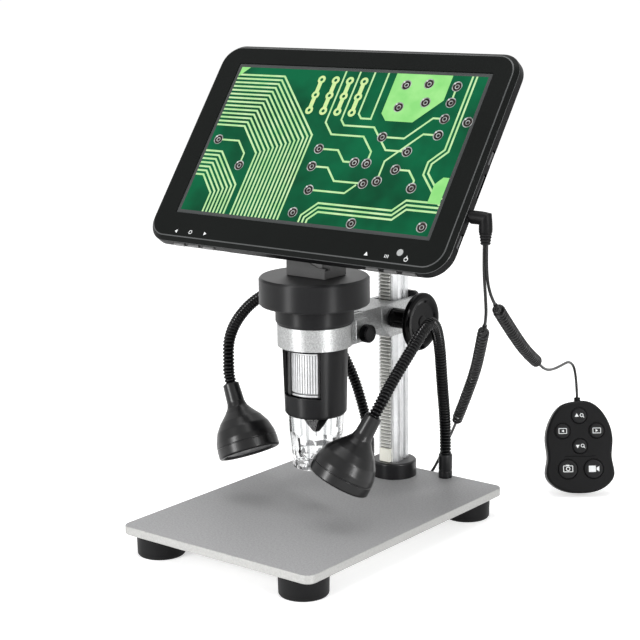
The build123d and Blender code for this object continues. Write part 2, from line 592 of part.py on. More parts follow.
def plug_body():
    """Right-angle plug with its pin and a ribbed boot, hanging straight down."""
    jack = FACE.from_local_coords(Vector(CASE_W / 2, JACK_V, -JACK_W))
    barrel = cyl_x(3.1, jack.X + 0.3, PLUG_X, jack.Y, jack.Z)
    pin = cyl_x(1.8, jack.X - 4.5, jack.X + 1.0, jack.Y, jack.Z)
    elbow = Pos(PLUG_X, jack.Y, jack.Z) * Sphere(3.5)
    stem = cyl(3.3, PLUG_LOW_Z, jack.Z, PLUG_X, jack.Y)
    boot = [(0, BOOT_LOW_Z), (2.2, BOOT_LOW_Z)]
    ribs = 4
    rise = (PLUG_LOW_Z - BOOT_LOW_Z) / ribs
    for k in range(ribs):
        low = BOOT_LOW_Z + k * rise
        radius = 2.35 + 0.2 * k
        boot += [(radius, low + 0.3), (radius, low + rise - 0.4), (radius - 0.35, low + rise - 0.15)]
    boot += [(2.6, PLUG_LOW_Z + 0.2), (0, PLUG_LOW_Z + 0.2)]
    return barrel + pin + elbow + stem + Pos(PLUG_X, jack.Y, 0) * turned(boot)


# ---------------------------------------------------------------- lamps
def lamp_plane(ends):
    """The lamp's own frame: origin at the neck's end, +Z along the way it shines."""
    neck, rim = Vector(*ends[0]), Vector(*ends[1])
    return Plane(origin=neck, z_dir=(rim - neck).normalized())


def lamp_head(ends):
    """Bell with a straight neck; the front is recessed round the lens."""
    outer = [(4.2, 0.0), (4.5, 9.5), (5.2, 12.0), (7.2, 14.6), (10.6, 18.0), (13.4, 22.0), (15.1, 26.5),
             (LAMP_R, 30.5), (LAMP_R, LAMP_L - 0.8), (LAMP_R - 0.7, LAMP_L), (13.2, LAMP_L), (12.9, LAMP_L - 2.2),
             (12.9, LAMP_L - 6.0), (11.4, 23.0), (5.2, 16.6), (GOOSE_R + 0.1, 13.0), (GOOSE_R + 0.1, 0.0)]
    return lamp_plane(ends).location * turned(outer)


def lamp_lens(ends):
    """Lens plate with its light board behind."""
    shape = [(0, LAMP_L - 2.4), (12.4, LAMP_L - 2.4), (12.8, LAMP_L - 3.0), (12.8, LAMP_L - 5.6), (0, LAMP_L - 5.6)]
    return lamp_plane(ends).location * turned(shape)


def gooseneck(route, ends, label):
    """Flexible metal arm from the sleeve into the lamp's neck."""
    inward = lamp_plane(ends).z_dir
    neck = Vector(*ends[0])
    end = neck + inward * 9.0
    before = neck - inward * 4.0
    points = route + [tuple(before), tuple(end)]
    return tube(points, GOOSE_R, label)


# ---------------------------------------------------------------- handset
def handset_outline(inset=0.0):
    """Egg-shaped outline with a slight waist."""
    k = 1 - inset / 18.2
    half = [(x * k, y * k) for x, y in HANDSET_HALF_OUTLINE]
    loop = [(HANDSET_TOP[0], HANDSET_TOP[1] * k)] + half + [(HANDSET_LOW[0], HANDSET_LOW[1] * k)]
    loop += [(-x, y) for x, y in reversed(half)]
    return make_face(Spline(*loop, periodic=True))


def handset_lower_shell():
    shell = extrude(handset_outline(0.0), HANDSET_T / 2)
    shell = chamfer(shell.edges().group_by(Axis.Z)[0], 0.8)
    shell -= Pos(0, 0, 1.4) * extrude(handset_outline(1.6), HANDSET_T)
    return HANDSET.location * shell


def handset_upper_shell():
    top = HANDSET_T - HANDSET_T / 2
    shell = extrude(handset_outline(0.0), top)
    shell = chamfer(shell.edges().group_by(Axis.Z)[-1], 1.2)
    shell -= extrude(handset_outline(1.6), top - 1.4)
    nub = Pos(0, HANDSET_TOP[1] + 0.4, 0) * Rot(90, 0, 0) * Cylinder(1.7, 3.2)
    shell = Pos(0, 0, HANDSET_T / 2) * shell
    for x, y, r in HANDSET_KEYS.values():
        shell -= cyl(r + KEY_GAP, 0, HANDSET_T + 1, x, y)
    shell -= block(-8.4, 8.4, -5.2, -4.9, HANDSET_T - 0.25, HANDSET_T + 1)
    nub = Pos(0, 0, HANDSET_T / 2) * nub - Pos(0, 0, -1) * extrude(handset_outline(0.0), HANDSET_T / 2 + 1)
    return HANDSET.location * (shell + nub)


def handset_circuit_board():
    board = Pos(0, 0, 3.4) * extrude(handset_outline(2.4), 1.2)
    return HANDSET.location * board


def handset_key(x, y, r):
    """A soft key with a flange under the shell."""
    crown = cyl(r, HANDSET_T - 1.4, HANDSET_T + KEY_PROUD, x, y)
    crown = fillet(crown.edges().group_by(Axis.Z)[-1], 0.7)
    stem = cyl(r + 0.7, HANDSET_T - 2.6, HANDSET_T - 1.7, x, y) + cyl(r, HANDSET_T - 1.8, HANDSET_T - 1.4, x, y)
    return HANDSET.location * (crown + stem)


# ---------------------------------------------------------------- write everything
os.makedirs("parts", exist_ok=True)

save(base_plate(), "base_plate")
save(rubber_feet(), "rubber_feet")
save(foot_screws(), "foot_screws")
save(wiring_cover(), "wiring_cover")
save(cable_gland(), "cable_gland")
save(gooseneck_sleeves(), "gooseneck_sleeves")
save(column(), "column")
save(gear_rack(), "gear_rack")
save(column_base_ring(), "column_base_ring")
save(column_top_cap(), "column_top_cap")

save(carriage_arm(), "carriage_arm")
save(carriage_rear_plate(), "carriage_rear_plate")
save(pinion_shaft(), "pinion_shaft")
save(focus_knob(-1), "focus_knob_left")
save(focus_knob(1), "focus_knob_right")
save(clamp_thumb_screw(), "clamp_thumb_screw")

save(disc_housing(), "scope_disc_housing")
save(scope_body(), "scope_body")
save(focus_wheel(), "focus_wheel")
save(lens_barrel(), "lens_barrel")
save(sensor_board(), "sensor_board")
save(ring_light_board(), "ring_light_board")
save(clear_snout(), "clear_snout")

save(hinge_bracket(), "hinge_bracket")
save(hinge_pin(), "hinge_pin")
save(hinge_arm(), "hinge_arm")
save(front_bezel(), "front_bezel")
save(rear_cover(), "rear_cover")
save(lcd_panel(), "lcd_panel")
save(main_board(), "main_board")
save(battery_pack(), "battery_pack")
save(case_screws(), "case_screws")
for number, place in enumerate(BUTTON_U, 1):
    save(menu_button(place), f"menu_button_{number}")
save(plug_body(), "plug_body")

for side, route, ends in (("left", GOOSE_LEFT, LAMP_LEFT), ("right", GOOSE_RIGHT, LAMP_RIGHT)):
    save(gooseneck(route, ends, f"gooseneck_{side}"), f"gooseneck_{side}")
    save(lamp_head(ends), f"lamp_head_{side}")
    save(lamp_lens(ends), f"lamp_lens_{side}")

save(tube(CORD_A_LEAD, CORD_D / 2, "handset_cord_lead"), "handset_cord_lead")
save(tube(COIL_A, COIL_A_R, "handset_cord_coil"), "handset_cord_coil")
save(tube(CORD_A_TAIL, CORD_D / 2, "handset_cord_tail"), "handset_cord_tail")
save(tube(CORD_B_LEAD, CORD_D / 2, "lamp_cord_lead"), "lamp_cord_lead")
save(tube(COIL_B, COIL_B_R, "lamp_cord_coil"), "lamp_cord_coil")
save(tube(CORD_B_TAIL, CORD_D / 2, "lamp_cord_tail"), "lamp_cord_tail")

save(handset_lower_shell(), "handset_lower_shell")
save(handset_upper_shell(), "handset_upper_shell")
save(handset_circuit_board(), "handset_circuit_board")
for node, (x, y, r) in HANDSET_KEYS.items():
    save(handset_key(x, y, r), node)
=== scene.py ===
import bpy
import bmesh
from math import atan2, cos, pi, radians, sin, tan
from mathutils import Matrix, Vector


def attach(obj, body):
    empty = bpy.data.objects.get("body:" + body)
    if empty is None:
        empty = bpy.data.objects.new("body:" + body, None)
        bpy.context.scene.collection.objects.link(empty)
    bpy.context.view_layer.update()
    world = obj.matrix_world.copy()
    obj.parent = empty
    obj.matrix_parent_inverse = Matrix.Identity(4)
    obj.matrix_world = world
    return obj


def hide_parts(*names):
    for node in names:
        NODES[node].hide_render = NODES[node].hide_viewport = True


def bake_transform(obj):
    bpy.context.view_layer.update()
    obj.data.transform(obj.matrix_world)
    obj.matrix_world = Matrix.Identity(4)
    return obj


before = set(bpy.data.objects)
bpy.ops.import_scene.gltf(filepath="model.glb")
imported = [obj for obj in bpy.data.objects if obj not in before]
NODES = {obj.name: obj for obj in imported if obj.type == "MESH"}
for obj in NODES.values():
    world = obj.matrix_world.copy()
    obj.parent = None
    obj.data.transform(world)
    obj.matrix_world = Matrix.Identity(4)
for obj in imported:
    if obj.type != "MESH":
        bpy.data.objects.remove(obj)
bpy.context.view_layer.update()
SCENE = bpy.context.scene
SCENE.view_settings.view_transform = "Standard"
MM = 0.001

# ---------------------------------------------------------------- sizes, in millimetres
FLOOR_Z = -15.3
PLATE = (120, 164)
PLATE_CORNER = 5
PLATE_LOW = -4.4
FOOT_AT = (45.6, 68.4)
SLEEVE_AT = (26.0, 77.4)
GLAND_AT = (4.0, 80.8, -7.9)

COLUMN_FRONT = 59.2
COLUMN_HALF = 4.7
COLUMN_ENDS = (-0.3, 164.9)
PINION = (53.55, 90.0)
MODULE = 0.6
PITCH = pi * MODULE
PRESSURE_ANGLE = radians(20)
RACK_W = 6.6
RACK_PITCH_Y = 58.2
RACK_BACK = 59.18
RACK_LOW = 8.8
RACK_PLAIN_TOP = 16.2
RACK_TOP = 160.0
THUMB_SCREW_AT = (0, 22.4, 88.0)

SCOPE_Y = -0.7
WHEEL_R = 13.4
WHEEL_RIBS = 60
WINDOW_SIDES = (("left", -137.6, -112.5), ("right", -46.5, -42.4))
SNOUT_FACETS = 9
SNOUT_TURN = radians(8.6)
SNOUT_LIGHTS = 8

FACE_CENTRE = Vector((0.0, 9.0, 182.0))
LEAN = radians(36.16)
CASE = (186.2, 117.8, 12.5)
CASE_SCREW_AT = (84.1, 49.9)
LCD = (154.2, 85.9)
LCD_SHIFT = (1.0, 2.0)
PLUG_AT = (101.2, -1.555, 157.39)
PLUG_R = 3.15

HANDSET_AT = (75.04, 135.47, 11.3)
HANDSET_TURN = radians(39.4)
HANDSET_LEAN = radians(18.0)
LINK_PITCH = 1.8
CORD_R = 0.75

# The screen's own frame: x to the right, y up the face, z out of it.
FACE = Matrix.Translation(FACE_CENTRE) @ Matrix.Rotation(pi / 2 - LEAN, 4, "X")
HANDSET = (Matrix.Translation(HANDSET_AT) @ Matrix.Rotation(HANDSET_TURN, 4, "Z")
           @ Matrix.Rotation(pi / 2 - HANDSET_LEAN, 4, "X"))
SCOPE = Matrix.Translation((0, SCOPE_Y, 0))

GOOSE_RIGHT = [(26.0, 77.4, 3.0), (26.0, 77.4, 20.5), (27.4, 74.6, 35.0), (31.4, 66.0, 55.9),
               (35.4, 58.0, 78.6), (39.4, 47.6, 92.6), (41.6, 36.5, 92.9), (42.7, 22.0, 82.7),
               (41.9, 8.0, 70.8)]
GOOSE_LEFT = [(-26.0, 77.4, 3.0), (-26.0, 77.4, 19.5), (-29.2, 77.0, 31.5), (-34.2, 75.0, 49.3),
              (-42.8, 66.0, 74.2), (-49.4, 52.0, 93.5), (-55.0, 37.0, 101.0), (-58.2, 22.0, 97.5),
              (-57.6, 6.0, 89.6), (-54.2, -5.2, 80.6), (-51.7, -8.0, 69.6)]
LAMP_RIGHT = ((40.5, -6.0, 55.2), (28.4, -18.0, 24.7))
LAMP_LEFT = ((-50.7, -8.0, 58.2), (-34.5, -12.6, 24.9))

CORD_A_LEAD = [(101.9, -1.5, 145.2), (102.1, -2.2, 133.0), (101.1, 2.9, 120.5), (99.0, 11.5, 114.0)]
COIL_A = [(99.0, 11.5, 114.0), (93.8, 33.0, 98.0), (87.6, 56.0, 82.8), (80.4, 80.5, 70.5)]
CORD_A_TAIL = [(80.4, 80.5, 70.5), (76.1, 95.2, 63.1), (72.2, 109.5, 59.6), (68.4, 125.0, 58.2),
               (64.6, 141.0, 57.2), (64.1, 148.8, 49.8), (67.0, 145.27, 35.78)]
CORD_B_LEAD = [(100.5, -1.5, 145.2), (100.5, -1.8, 133.6), (101.0, -1.0, 121.8), (99.9, 1.8, 110.8),
               (94.0, 9.3, 103.8)]
COIL_B = [(94.0, 9.3, 103.8), (77.8, 30.0, 84.6), (62.4, 50.0, 69.2), (44.6, 68.0, 48.2),
          (28.0, 84.0, 28.8)]
CORD_B_TAIL = [(28.0, 84.0, 28.8), (22.5, 89.3, 22.4), (15.4, 93.4, 12.6), (9.2, 95.8, 2.4),
               (5.4, 94.9, -5.2), (4.0, 90.4, -7.9), (4.0, 84.5, -7.9)]


# ---------------------------------------------------------------- camera and light
CAMERA_AT = Vector((511.86, -638.76, 276.54))
CAMERA_AXES = Matrix(((0.7837, 0.6210, -0.0127), (-0.1233, 0.1756, 0.9767), (0.6088, -0.7639, 0.2142)))
FOCAL_PIXELS = 1675.93
PICTURE_SIDE = 640
SENSOR = 36
PLAIN_LIGHT = 0.36


def set_camera():
    """The camera's axes are its right, its up and its back."""
    data = bpy.data.cameras.new("camera")
    data.sensor_width = SENSOR
    data.lens = FOCAL_PIXELS / PICTURE_SIDE * SENSOR
    data.clip_start = 0.05
    obj = bpy.data.objects.new("camera", data)
    obj.matrix_world = Matrix.Translation(CAMERA_AT * MM) @ CAMERA_AXES.transposed().to_4x4()
    SCENE.collection.objects.link(obj)
    SCENE.camera = obj


def softbox(name, place, aim, size, power):
    """A lit rectangle, in metres and watts."""
    data = bpy.data.lights.new(name, "AREA")
    data.shape = "RECTANGLE"
    data.size, data.size_y = size
    data.energy = power
    obj = bpy.data.objects.new(name, data)
    place, aim = Vector(place), Vector(aim)
    turn = (aim - place).to_track_quat("-Z", "Y").to_matrix().to_4x4()
    obj.matrix_world = Matrix.Translation(place) @ turn
    SCENE.collection.objects.link(obj)


def is_seen(tree):
    """1 for a ray that sees the surface straight, mirrored or through glass, 0 for its plain light."""
    rays = node(tree, "ShaderNodeLightPath")
    seen = maths(tree, "MAXIMUM", rays.outputs["Is Camera Ray"], rays.outputs["Is Glossy Ray"])
    return maths(tree, "MAXIMUM", seen, rays.outputs["Is Transmission Ray"])


def set_world():
    """White where it is seen, and a plain even level as light."""
    world = bpy.data.worlds.new("studio")
    SCENE.world = world
    world.use_nodes = True
    tree = world.node_tree
    tree.nodes.clear()
    level = maths(tree, "MULTIPLY_ADD", is_seen(tree), 1 - PLAIN_LIGHT, PLAIN_LIGHT)
    back = node(tree, "ShaderNodeBackground", {"Color": (1, 1, 1, 1), "Strength": level})
    node(tree, "ShaderNodeOutputWorld", {"Surface": back.outputs[0]})


# ---------------------------------------------------------------- node helpers
def node(tree, kind, inputs=None, **settings):
    """A node with its settings and inputs; an input is a value or another node's socket."""
    made = tree.nodes.new(kind)
    for key, value in settings.items():
        setattr(made, key, value)
    for key, value in (inputs or {}).items():
        if isinstance(value, bpy.types.NodeSocket):
            tree.links.new(value, made.inputs[key])
        else:
            made.inputs[key].default_value = value
    return made


def maths(tree, operation, *values):
    made = node(tree, "ShaderNodeMath", operation=operation)
    for socket, value in zip(made.inputs, values):
        if isinstance(value, bpy.types.NodeSocket):
            tree.links.new(value, socket)
        else:
            socket.default_value = value
    return made.outputs[0]


def ramp(tree, value, stops):
    """Colours along a value from 0 to 1."""
    made = node(tree, "ShaderNodeValToRGB", {"Fac": value})
    band = made.color_ramp
    for k, (place, colour) in enumerate(stops):
        stop = band.elements[k] if k < 2 else band.elements.new(place)
        stop.position = place
        stop.color = (*colour, 1)
    return made.outputs["Color"]


def spread(tree, value, low, high, start=0.0, end=1.0):
    """A value between start and end mapped to low..high."""
    made = node(tree, "ShaderNodeMapRange", {"Value": value, "From Min": start, "From Max": end,
                                             "To Min": low, "To Max": high})
    return made.outputs["Result"]


def noise(tree, scale, detail=3.0):
    """A cloud fixed to the object."""
    where = node(tree, "ShaderNodeTexCoord").outputs["Object"]
    made = node(tree, "ShaderNodeTexNoise", {"Vector": where, "Scale": scale, "Detail": detail,
                                             "Roughness": 0.55})
    return made.outputs["Fac"]


def srgb(*levels):
    """Linear colour from 0..255 screen levels."""
    return tuple((c / 255 / 12.92) if c <= 10 else (((c / 255) + 0.055) / 1.055) ** 2.4 for c in levels)


def finish(name, colour, roughness, metallic=0.0, mottle=(0.12, 60), rough_spread=0.07, grain=(0.0, 2500),
           specular=0.5, upright=0.0):
    """A surface whose colour and gloss drift a little, with a fine grain in relief. mottle is (share, scale)
    and grain (strength, scale, depth in metres); upright draws out the gloss along Z, as on turned work."""
    share, mottle_scale = mottle
    strength, grain_scale, depth = (*grain, 0.00006)[:3]
    made = bpy.data.materials.new(name)
    made.use_nodes = True
    tree = made.node_tree
    shader = tree.nodes["Principled BSDF"]
    cloud = noise(tree, mottle_scale, 4.0)
    fine = noise(tree, grain_scale, 2.0)
    speckle = maths(tree, "SUBTRACT", fine, 0.5)
    blend = maths(tree, "MULTIPLY_ADD", speckle, 0.8 if strength else 0.25, cloud)
    dark = tuple(c * (1 - share) for c in colour)
    light = tuple(min(1.0, c * (1 + share)) for c in colour)
    tree.links.new(ramp(tree, blend, [(0.3, dark), (0.7, light)]), shader.inputs["Base Color"])
    gloss = spread(tree, cloud, roughness - rough_spread, roughness + rough_spread)
    tree.links.new(gloss, shader.inputs["Roughness"])
    if strength:
        bump = node(tree, "ShaderNodeBump", {"Strength": strength, "Distance": depth, "Height": fine})
        tree.links.new(bump.outputs[0], shader.inputs["Normal"])
    shader.inputs["Metallic"].default_value = metallic
    shader.inputs["Specular IOR Level"].default_value = specular
    if upright:
        axis = node(tree, "ShaderNodeCombineXYZ", {"X": 0.03, "Y": 0.02, "Z": 1.0})
        tree.links.new(axis.outputs[0], shader.inputs["Tangent"])
        shader.inputs["Anisotropic"].default_value = upright
    return made


def lit(name, colour, other, scale, glow=1.0):
    """A lit surface, its colour drifting between two tones, given as screen levels."""
    made = finish(name, (0.003, 0.003, 0.003), 0.3, specular=0.03)
    tree = made.node_tree
    shader = tree.nodes["Principled BSDF"]
    tones = ramp(tree, noise(tree, scale), [(0.35, srgb(*colour)), (0.65, srgb(*other))])
    tree.links.new(tones, shader.inputs["Emission Color"])
    shader.inputs["Emission Strength"].default_value = glow
    return made


def clear(name, tint, roughness):
    """A clear moulding that light goes through."""
    made = finish(name, tint, roughness, mottle=(0.01, 60), rough_spread=0.008)
    shader = made.node_tree.nodes["Principled BSDF"]
    shader.inputs["Transmission Weight"].default_value = 1.0
    shader.inputs["IOR"].default_value = 1.47
    return made


# ---------------------------------------------------------------- mesh helpers
def piece(name, verts, faces, finishes, body=None, place=None, stands_for=(), crease=32,
          tones=None):
    """A finished piece: doubles merged, faces outwards, smooth but for its edges, riding on its body.
    tones gives the number of each face's finish."""
    data = bpy.data.meshes.new(name)
    place = place or Matrix.Identity(4)
    data.from_pydata([(place @ Vector(v)) * MM for v in verts], [], faces)
    for made in finishes if isinstance(finishes, (list, tuple)) else [finishes]:
        data.materials.append(made)
    if tones:
        data.polygons.foreach_set("material_index", tones)
    obj = bpy.data.objects.new(name, data)
    SCENE.collection.objects.link(obj)
    merge(data, crease)
    if body:
        even(obj)
    settle(obj, body, stands_for)
    return obj


def even(obj):
    """Keeps flats flat in the light, so that a rounded edge doesn't shade the face beside it."""
    weighted = obj.modifiers.new("flats", "WEIGHTED_NORMAL")
    weighted.keep_sharp = True
    weighted.weight = 80


def smooth(data, crease):
    """Smooth shading, but for the edges that turn by more than the crease, in degrees."""
    data.polygons.foreach_set("use_smooth", [True] * len(data.polygons))
    data.set_sharp_from_angle(angle=radians(crease))


def merge(data, crease=32, recalc=True):
    """Merges a mesh's doubles and turns its faces outwards."""
    work = bmesh.new()
    work.from_mesh(data)
    bmesh.ops.remove_doubles(work, verts=work.verts, dist=2e-7)
    if recalc:
        bmesh.ops.recalc_face_normals(work, faces=work.faces)
    work.to_mesh(data)
    work.free()
    smooth(data, crease)
    data.update()


def settle(obj, body, stands_for=()):
    """Sets a piece on its body, and hides the solids that it stands for."""
    if body:
        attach(obj, body)
    if stands_for:
        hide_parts(*stands_for)


def softened(corners, closed=False, steps=4):
    """(a, b, radius) corners of an outline, each turned into a small curve."""
    out = []
    count = len(corners)
    for i, corner in enumerate(corners):
        here = Vector(corner[:2])
        radius = corner[2] if len(corner) > 2 else 0
        if radius <= 0 or (not closed and i in (0, count - 1)):
            out.append(here)
            continue
        back = Vector(corners[i - 1][:2]) - here
        on = Vector(corners[(i + 1) % count][:2]) - here
        reach = min(radius / max(tan(back.angle(on) / 2), 1e-3), 0.48 * back.length, 0.48 * on.length)
        start, end = here + back.normalized() * reach, here + on.normalized() * reach
        for k in range(steps + 1):
            t = k / steps
            out.append(start * (1 - t) ** 2 + here * 2 * t * (1 - t) + end * t * t)
    return out


def turned(name, profile, finishes, body, place=None, stands_for=(), steps=96, closed=False, crease=32,
           tone_at=None):
    """A turned piece from a (radius, height, rounding) outline about Z; tone_at picks the finish between
    two neighbouring points of the outline."""
    outline = softened(profile, closed)
    verts, rings, faces, tones = [], [], [], []
    for r, z in outline:
        first = len(verts)
        if r < 1e-6:
            verts.append((0, 0, z))
            rings.append([first] * steps)
            continue
        verts += [(r * cos(2 * pi * k / steps), r * sin(2 * pi * k / steps), z) for k in range(steps)]
        rings.append(list(range(first, first + steps)))
    pairs = list(zip(rings, rings[1:])) + ([(rings[-1], rings[0])] if closed else [])
    for index, (low, high) in enumerate(pairs):
        for k in range(steps):
            corners = [low[k], low[(k + 1) % steps], high[(k + 1) % steps], high[k]]
            face = [c for i, c in enumerate(corners) if c not in corners[:i]]
            if len(face) > 2:
                faces.append(face)
                tone = tone_at(outline[index], outline[(index + 1) % len(outline)]) if tone_at else 0
                tones.append(tone)
    return piece(name, verts, faces, finishes, body, place, stands_for, crease, tones)


def rounded_ring(width, height, radius, steps=10):
    """Points round a rounded rectangle, the same number whatever its size."""
    points = []
    radius = max(radius, 0.01)
    for sx, sy, start in ((1, 1, 0), (-1, 1, pi / 2), (-1, -1, pi), (1, -1, 1.5 * pi)):
        for k in range(steps + 1):
            angle = start + pi / 2 * k / steps
            points.append((sx * (width / 2 - radius) + radius * cos(angle),
                           sy * (height / 2 - radius) + radius * sin(angle)))
    return points


def lofted(name, rings, finishes, body, place=None, stands_for=(), loop=False, crease=32,
           tone_at=None):
    """A skin over rings of equally many (x, y, z) points, closed by a cap at each end or as a loop;
    tone_at picks the finish after a ring."""
    count, last = len(rings[0]), len(rings) - 1
    verts = [p for ring in rings for p in ring]
    faces, rows = [], []
    for i in range(last + 1 if loop else last):
        j = (i + 1) % len(rings)
        for k in range(count):
            m = (k + 1) % count
            faces.append([i * count + k, i * count + m, j * count + m, j * count + k])
            rows.append(i)
    if not loop:
        faces += [list(range(count))[::-1], [last * count + k for k in range(count)]]
        rows += [0, last]
    tones = [tone_at(i) if tone_at else 0 for i in rows]
    return piece(name, verts, faces, finishes, body, place, stands_for, crease, tones)


def plate_rings(width, height, radius, levels, shift=(0, 0)):
    """Rounded rectangles at (height, inset) levels."""
    return [[(x + shift[0], y + shift[1], z) for x, y in
             rounded_ring(width - 2 * inset, height - 2 * inset, radius - inset)] for z, inset in levels]


def eased(node_name, made, body, bevel=0.3, segments=2):
    """A cast, moulded or cut piece with its edges broken, over its own solid."""
    sharp = 34
    data = NODES[node_name].data.copy()
    work = bmesh.new()
    work.from_mesh(data)
    bmesh.ops.remove_doubles(work, verts=work.verts, dist=1e-6)
    bmesh.ops.dissolve_limit(work, angle_limit=radians(0.6), verts=work.verts, edges=work.edges)
    edges = [e for e in work.edges if e.is_manifold and e.calc_face_angle(0) > radians(sharp)]
    bmesh.ops.bevel(work, geom=edges, offset=bevel * MM, segments=segments, profile=0.6, affect="EDGES",
                    clamp_overlap=True)
    work.to_mesh(data)
    work.free()
    data.materials.clear()
    data.materials.append(made)
    data.polygons.foreach_set("material_index", [0] * len(data.polygons))
    smooth(data, sharp)
    obj = bpy.data.objects.new(node_name + "_finished", data)
    SCENE.collection.objects.link(obj)
    even(obj)
    settle(obj, body, (node_name,))
    return obj


def repaint(node_name, made):
    """A new finish for a solid that is shown as it is."""
    data = NODES[node_name].data
    if not data.materials:
        data.materials.append(made)
    for k in range(len(data.materials)):
        data.materials[k] = made


# ---------------------------------------------------------------- repeated pieces
def repeating_tree(name, lay_out, sizes=()):
    """A geometry tree that sets a part at the points that lay_out gives. Its inputs are the carrier, the
    part, the finish and any named sizes."""
    tree = bpy.data.node_groups.new(name, "GeometryNodeTree")
    for label, kind in [("Geometry", "Geometry"), ("Part", "Object"), ("Finish", "Material"), *sizes]:
        tree.interface.new_socket(label, in_out="INPUT", socket_type="NodeSocket" + kind)
    tree.interface.new_socket("Geometry", in_out="OUTPUT", socket_type="NodeSocketGeometry")
    given = node(tree, "NodeGroupInput").outputs
    part = node(tree, "GeometryNodeObjectInfo", {"Object": given["Part"]})
    layout = {"Instance": part.outputs["Geometry"], **lay_out(tree, given)}
    placed = node(tree, "GeometryNodeInstanceOnPoints", layout)
    whole = node(tree, "GeometryNodeRealizeInstances", {"Geometry": placed.outputs[0]})
    painted = node(tree, "GeometryNodeSetMaterial", {"Geometry": whole.outputs[0],
                                                     "Material": given["Finish"]})
    node(tree, "NodeGroupOutput", {"Geometry": painted.outputs[0]})
    return tree


def along_curve(tree, given):
    """Points at an even pitch along the carrier curve, turned square to it."""
    points = node(tree, "GeometryNodeCurveToPoints", {"Curve": given["Geometry"], "Length": given["Pitch"]},
                  mode="LENGTH")
    return {"Points": points.outputs["Points"], "Rotation": points.outputs["Rotation"]}


def round_axis(tree, given):
    """Points on the Z axis, turned by even shares of a turn."""
    circle = node(tree, "GeometryNodeMeshCircle", {"Vertices": given["Count"], "Radius": 1e-7})
    index = node(tree, "GeometryNodeInputIndex")
    share = maths(tree, "DIVIDE", index.outputs[0], given["Count"])
    turn = node(tree, "ShaderNodeCombineXYZ", {"Z": maths(tree, "MULTIPLY", share, 2 * pi)})
    return {"Points": circle.outputs[0], "Rotation": turn.outputs[0]}


def at_points(tree, given):
    """The carrier's own points."""
    return {"Points": given["Geometry"]}


LINKS_ALONG = repeating_tree("links_along_a_neck", along_curve, [("Pitch", "Float")])
SET_ROUND = repeating_tree("set_round_an_axis", round_axis, [("Count", "Int")])
SET_AT_SPOTS = repeating_tree("set_at_spots", at_points)


def repeated(name, part, carrier, tree, made, body, place=None, stands_for=(), slot=None, crease=32, **sizes):
    """A part repeated by a tree on a carrier, kept as one plain piece. The part and the carrier go."""
    SCENE.collection.objects.link(carrier)
    modifier = carrier.modifiers.new("made", "NODES")
    modifier.node_group = tree
    values = {"Part": part, "Finish": made, **sizes}
    for item in tree.interface.items_tree:
        if item.item_type == "SOCKET" and item.in_out == "INPUT" and item.name in values:
            modifier[item.identifier] = values[item.name]
    graph = bpy.context.evaluated_depsgraph_get()
    data = bpy.data.meshes.new_from_object(carrier.evaluated_get(graph))
    carrier.modifiers.clear()
    bpy.data.objects.remove(carrier)
    bpy.data.objects.remove(part)
    if place:
        move = place.copy()
        move.translation *= MM
        data.transform(move)
    smooth(data, crease)
    obj = bpy.data.objects.new(name, data)
    SCENE.collection.objects.link(obj)
    settle(obj, body, stands_for)


def blank(name, verts, faces=()):
    """A carrier or a part that isn't shown itself."""
    data = bpy.data.meshes.new(name)
    data.from_pydata([Vector(v) * MM for v in verts], [], list(faces))
    obj = bpy.data.objects.new(name, data)
    if faces:
        merge(data)
    return obj


def unseen(obj):
    """Takes a part out of the scene until it is repeated."""
    SCENE.collection.objects.unlink(obj)
    return obj


def turned_part(name, profile, steps):
    """A turned part that is going to be repeated."""
    return unseen(turned(name, profile, [], None, steps=steps, closed=True))


def at_spots(name, part, spots, made, body, place=None, stands_for=(), slot=None):
    """A part set at each of the spots."""
    repeated(name, part, blank(name + "_spots", spots), SET_AT_SPOTS, made, body, place, stands_for, slot)


def set_round(name, low, high, soft, count, made, body, place):
    """A small block repeated round an axis, given by its two corners at the first place."""
    part = unseen(bar(name + "_part", low, high, soft, []))
    repeated(name, part, blank(name + "_axis", [(0, 0, 0)]), SET_ROUND, made, body, place, Count=count)


def corners_of(x, y, z):
    """The four spots that lie alike in the four quarters."""
    return [(sx * x, sy * y, z) for sx in (-1, 1) for sy in (-1, 1)]


# ---------------------------------------------------------------- cords
def route_curve(points, radius=0.0):
    """A route's smooth line, or its tube."""
    data = bpy.data.curves.new("route", "CURVE")
    data.dimensions = "3D"
    line = data.splines.new("NURBS")
    line.points.add(len(points) - 1)
    for point, place in zip(line.points, points):
        point.co = (*(Vector(place) * MM), 1)
    line.order_u = 3
    line.use_endpoint_u = True
    line.resolution_u = 8
    data.resolution_u = 8
    data.bevel_depth = radius * MM
    data.bevel_resolution = 3
    data.use_fill_caps = radius > 0
    return bpy.data.objects.new("route", data)


def route_mesh(points, radius=0.0):
    obj = route_curve(points, radius)
    SCENE.collection.objects.link(obj)
    graph = bpy.context.evaluated_depsgraph_get()
    data = bpy.data.meshes.new_from_object(obj.evaluated_get(graph))
    bpy.data.objects.remove(obj)
    return data


def route_points(points):
    """The smooth line of a route, in millimetres."""
    return [v.co / MM for v in route_mesh(points).vertices]


def walk(points):
    """Gives the place and direction at any share of a line's length."""
    lengths = [0.0]
    for a, b in zip(points, points[1:]):
        lengths.append(lengths[-1] + (b - a).length)

    def at(share):
        want = min(max(share, 0), 1) * lengths[-1]
        for i in range(1, len(points)):
            if lengths[i] >= want or i == len(points) - 1:
                part = (want - lengths[i - 1]) / max(lengths[i] - lengths[i - 1], 1e-9)
                return points[i - 1].lerp(points[i], part), (points[i] - points[i - 1]).normalized()
    return at


def carried(side, forward):
    """The side direction carried on along a line without twist."""
    return (side - forward * side.dot(forward)).normalized() if side else forward.orthogonal().normalized()


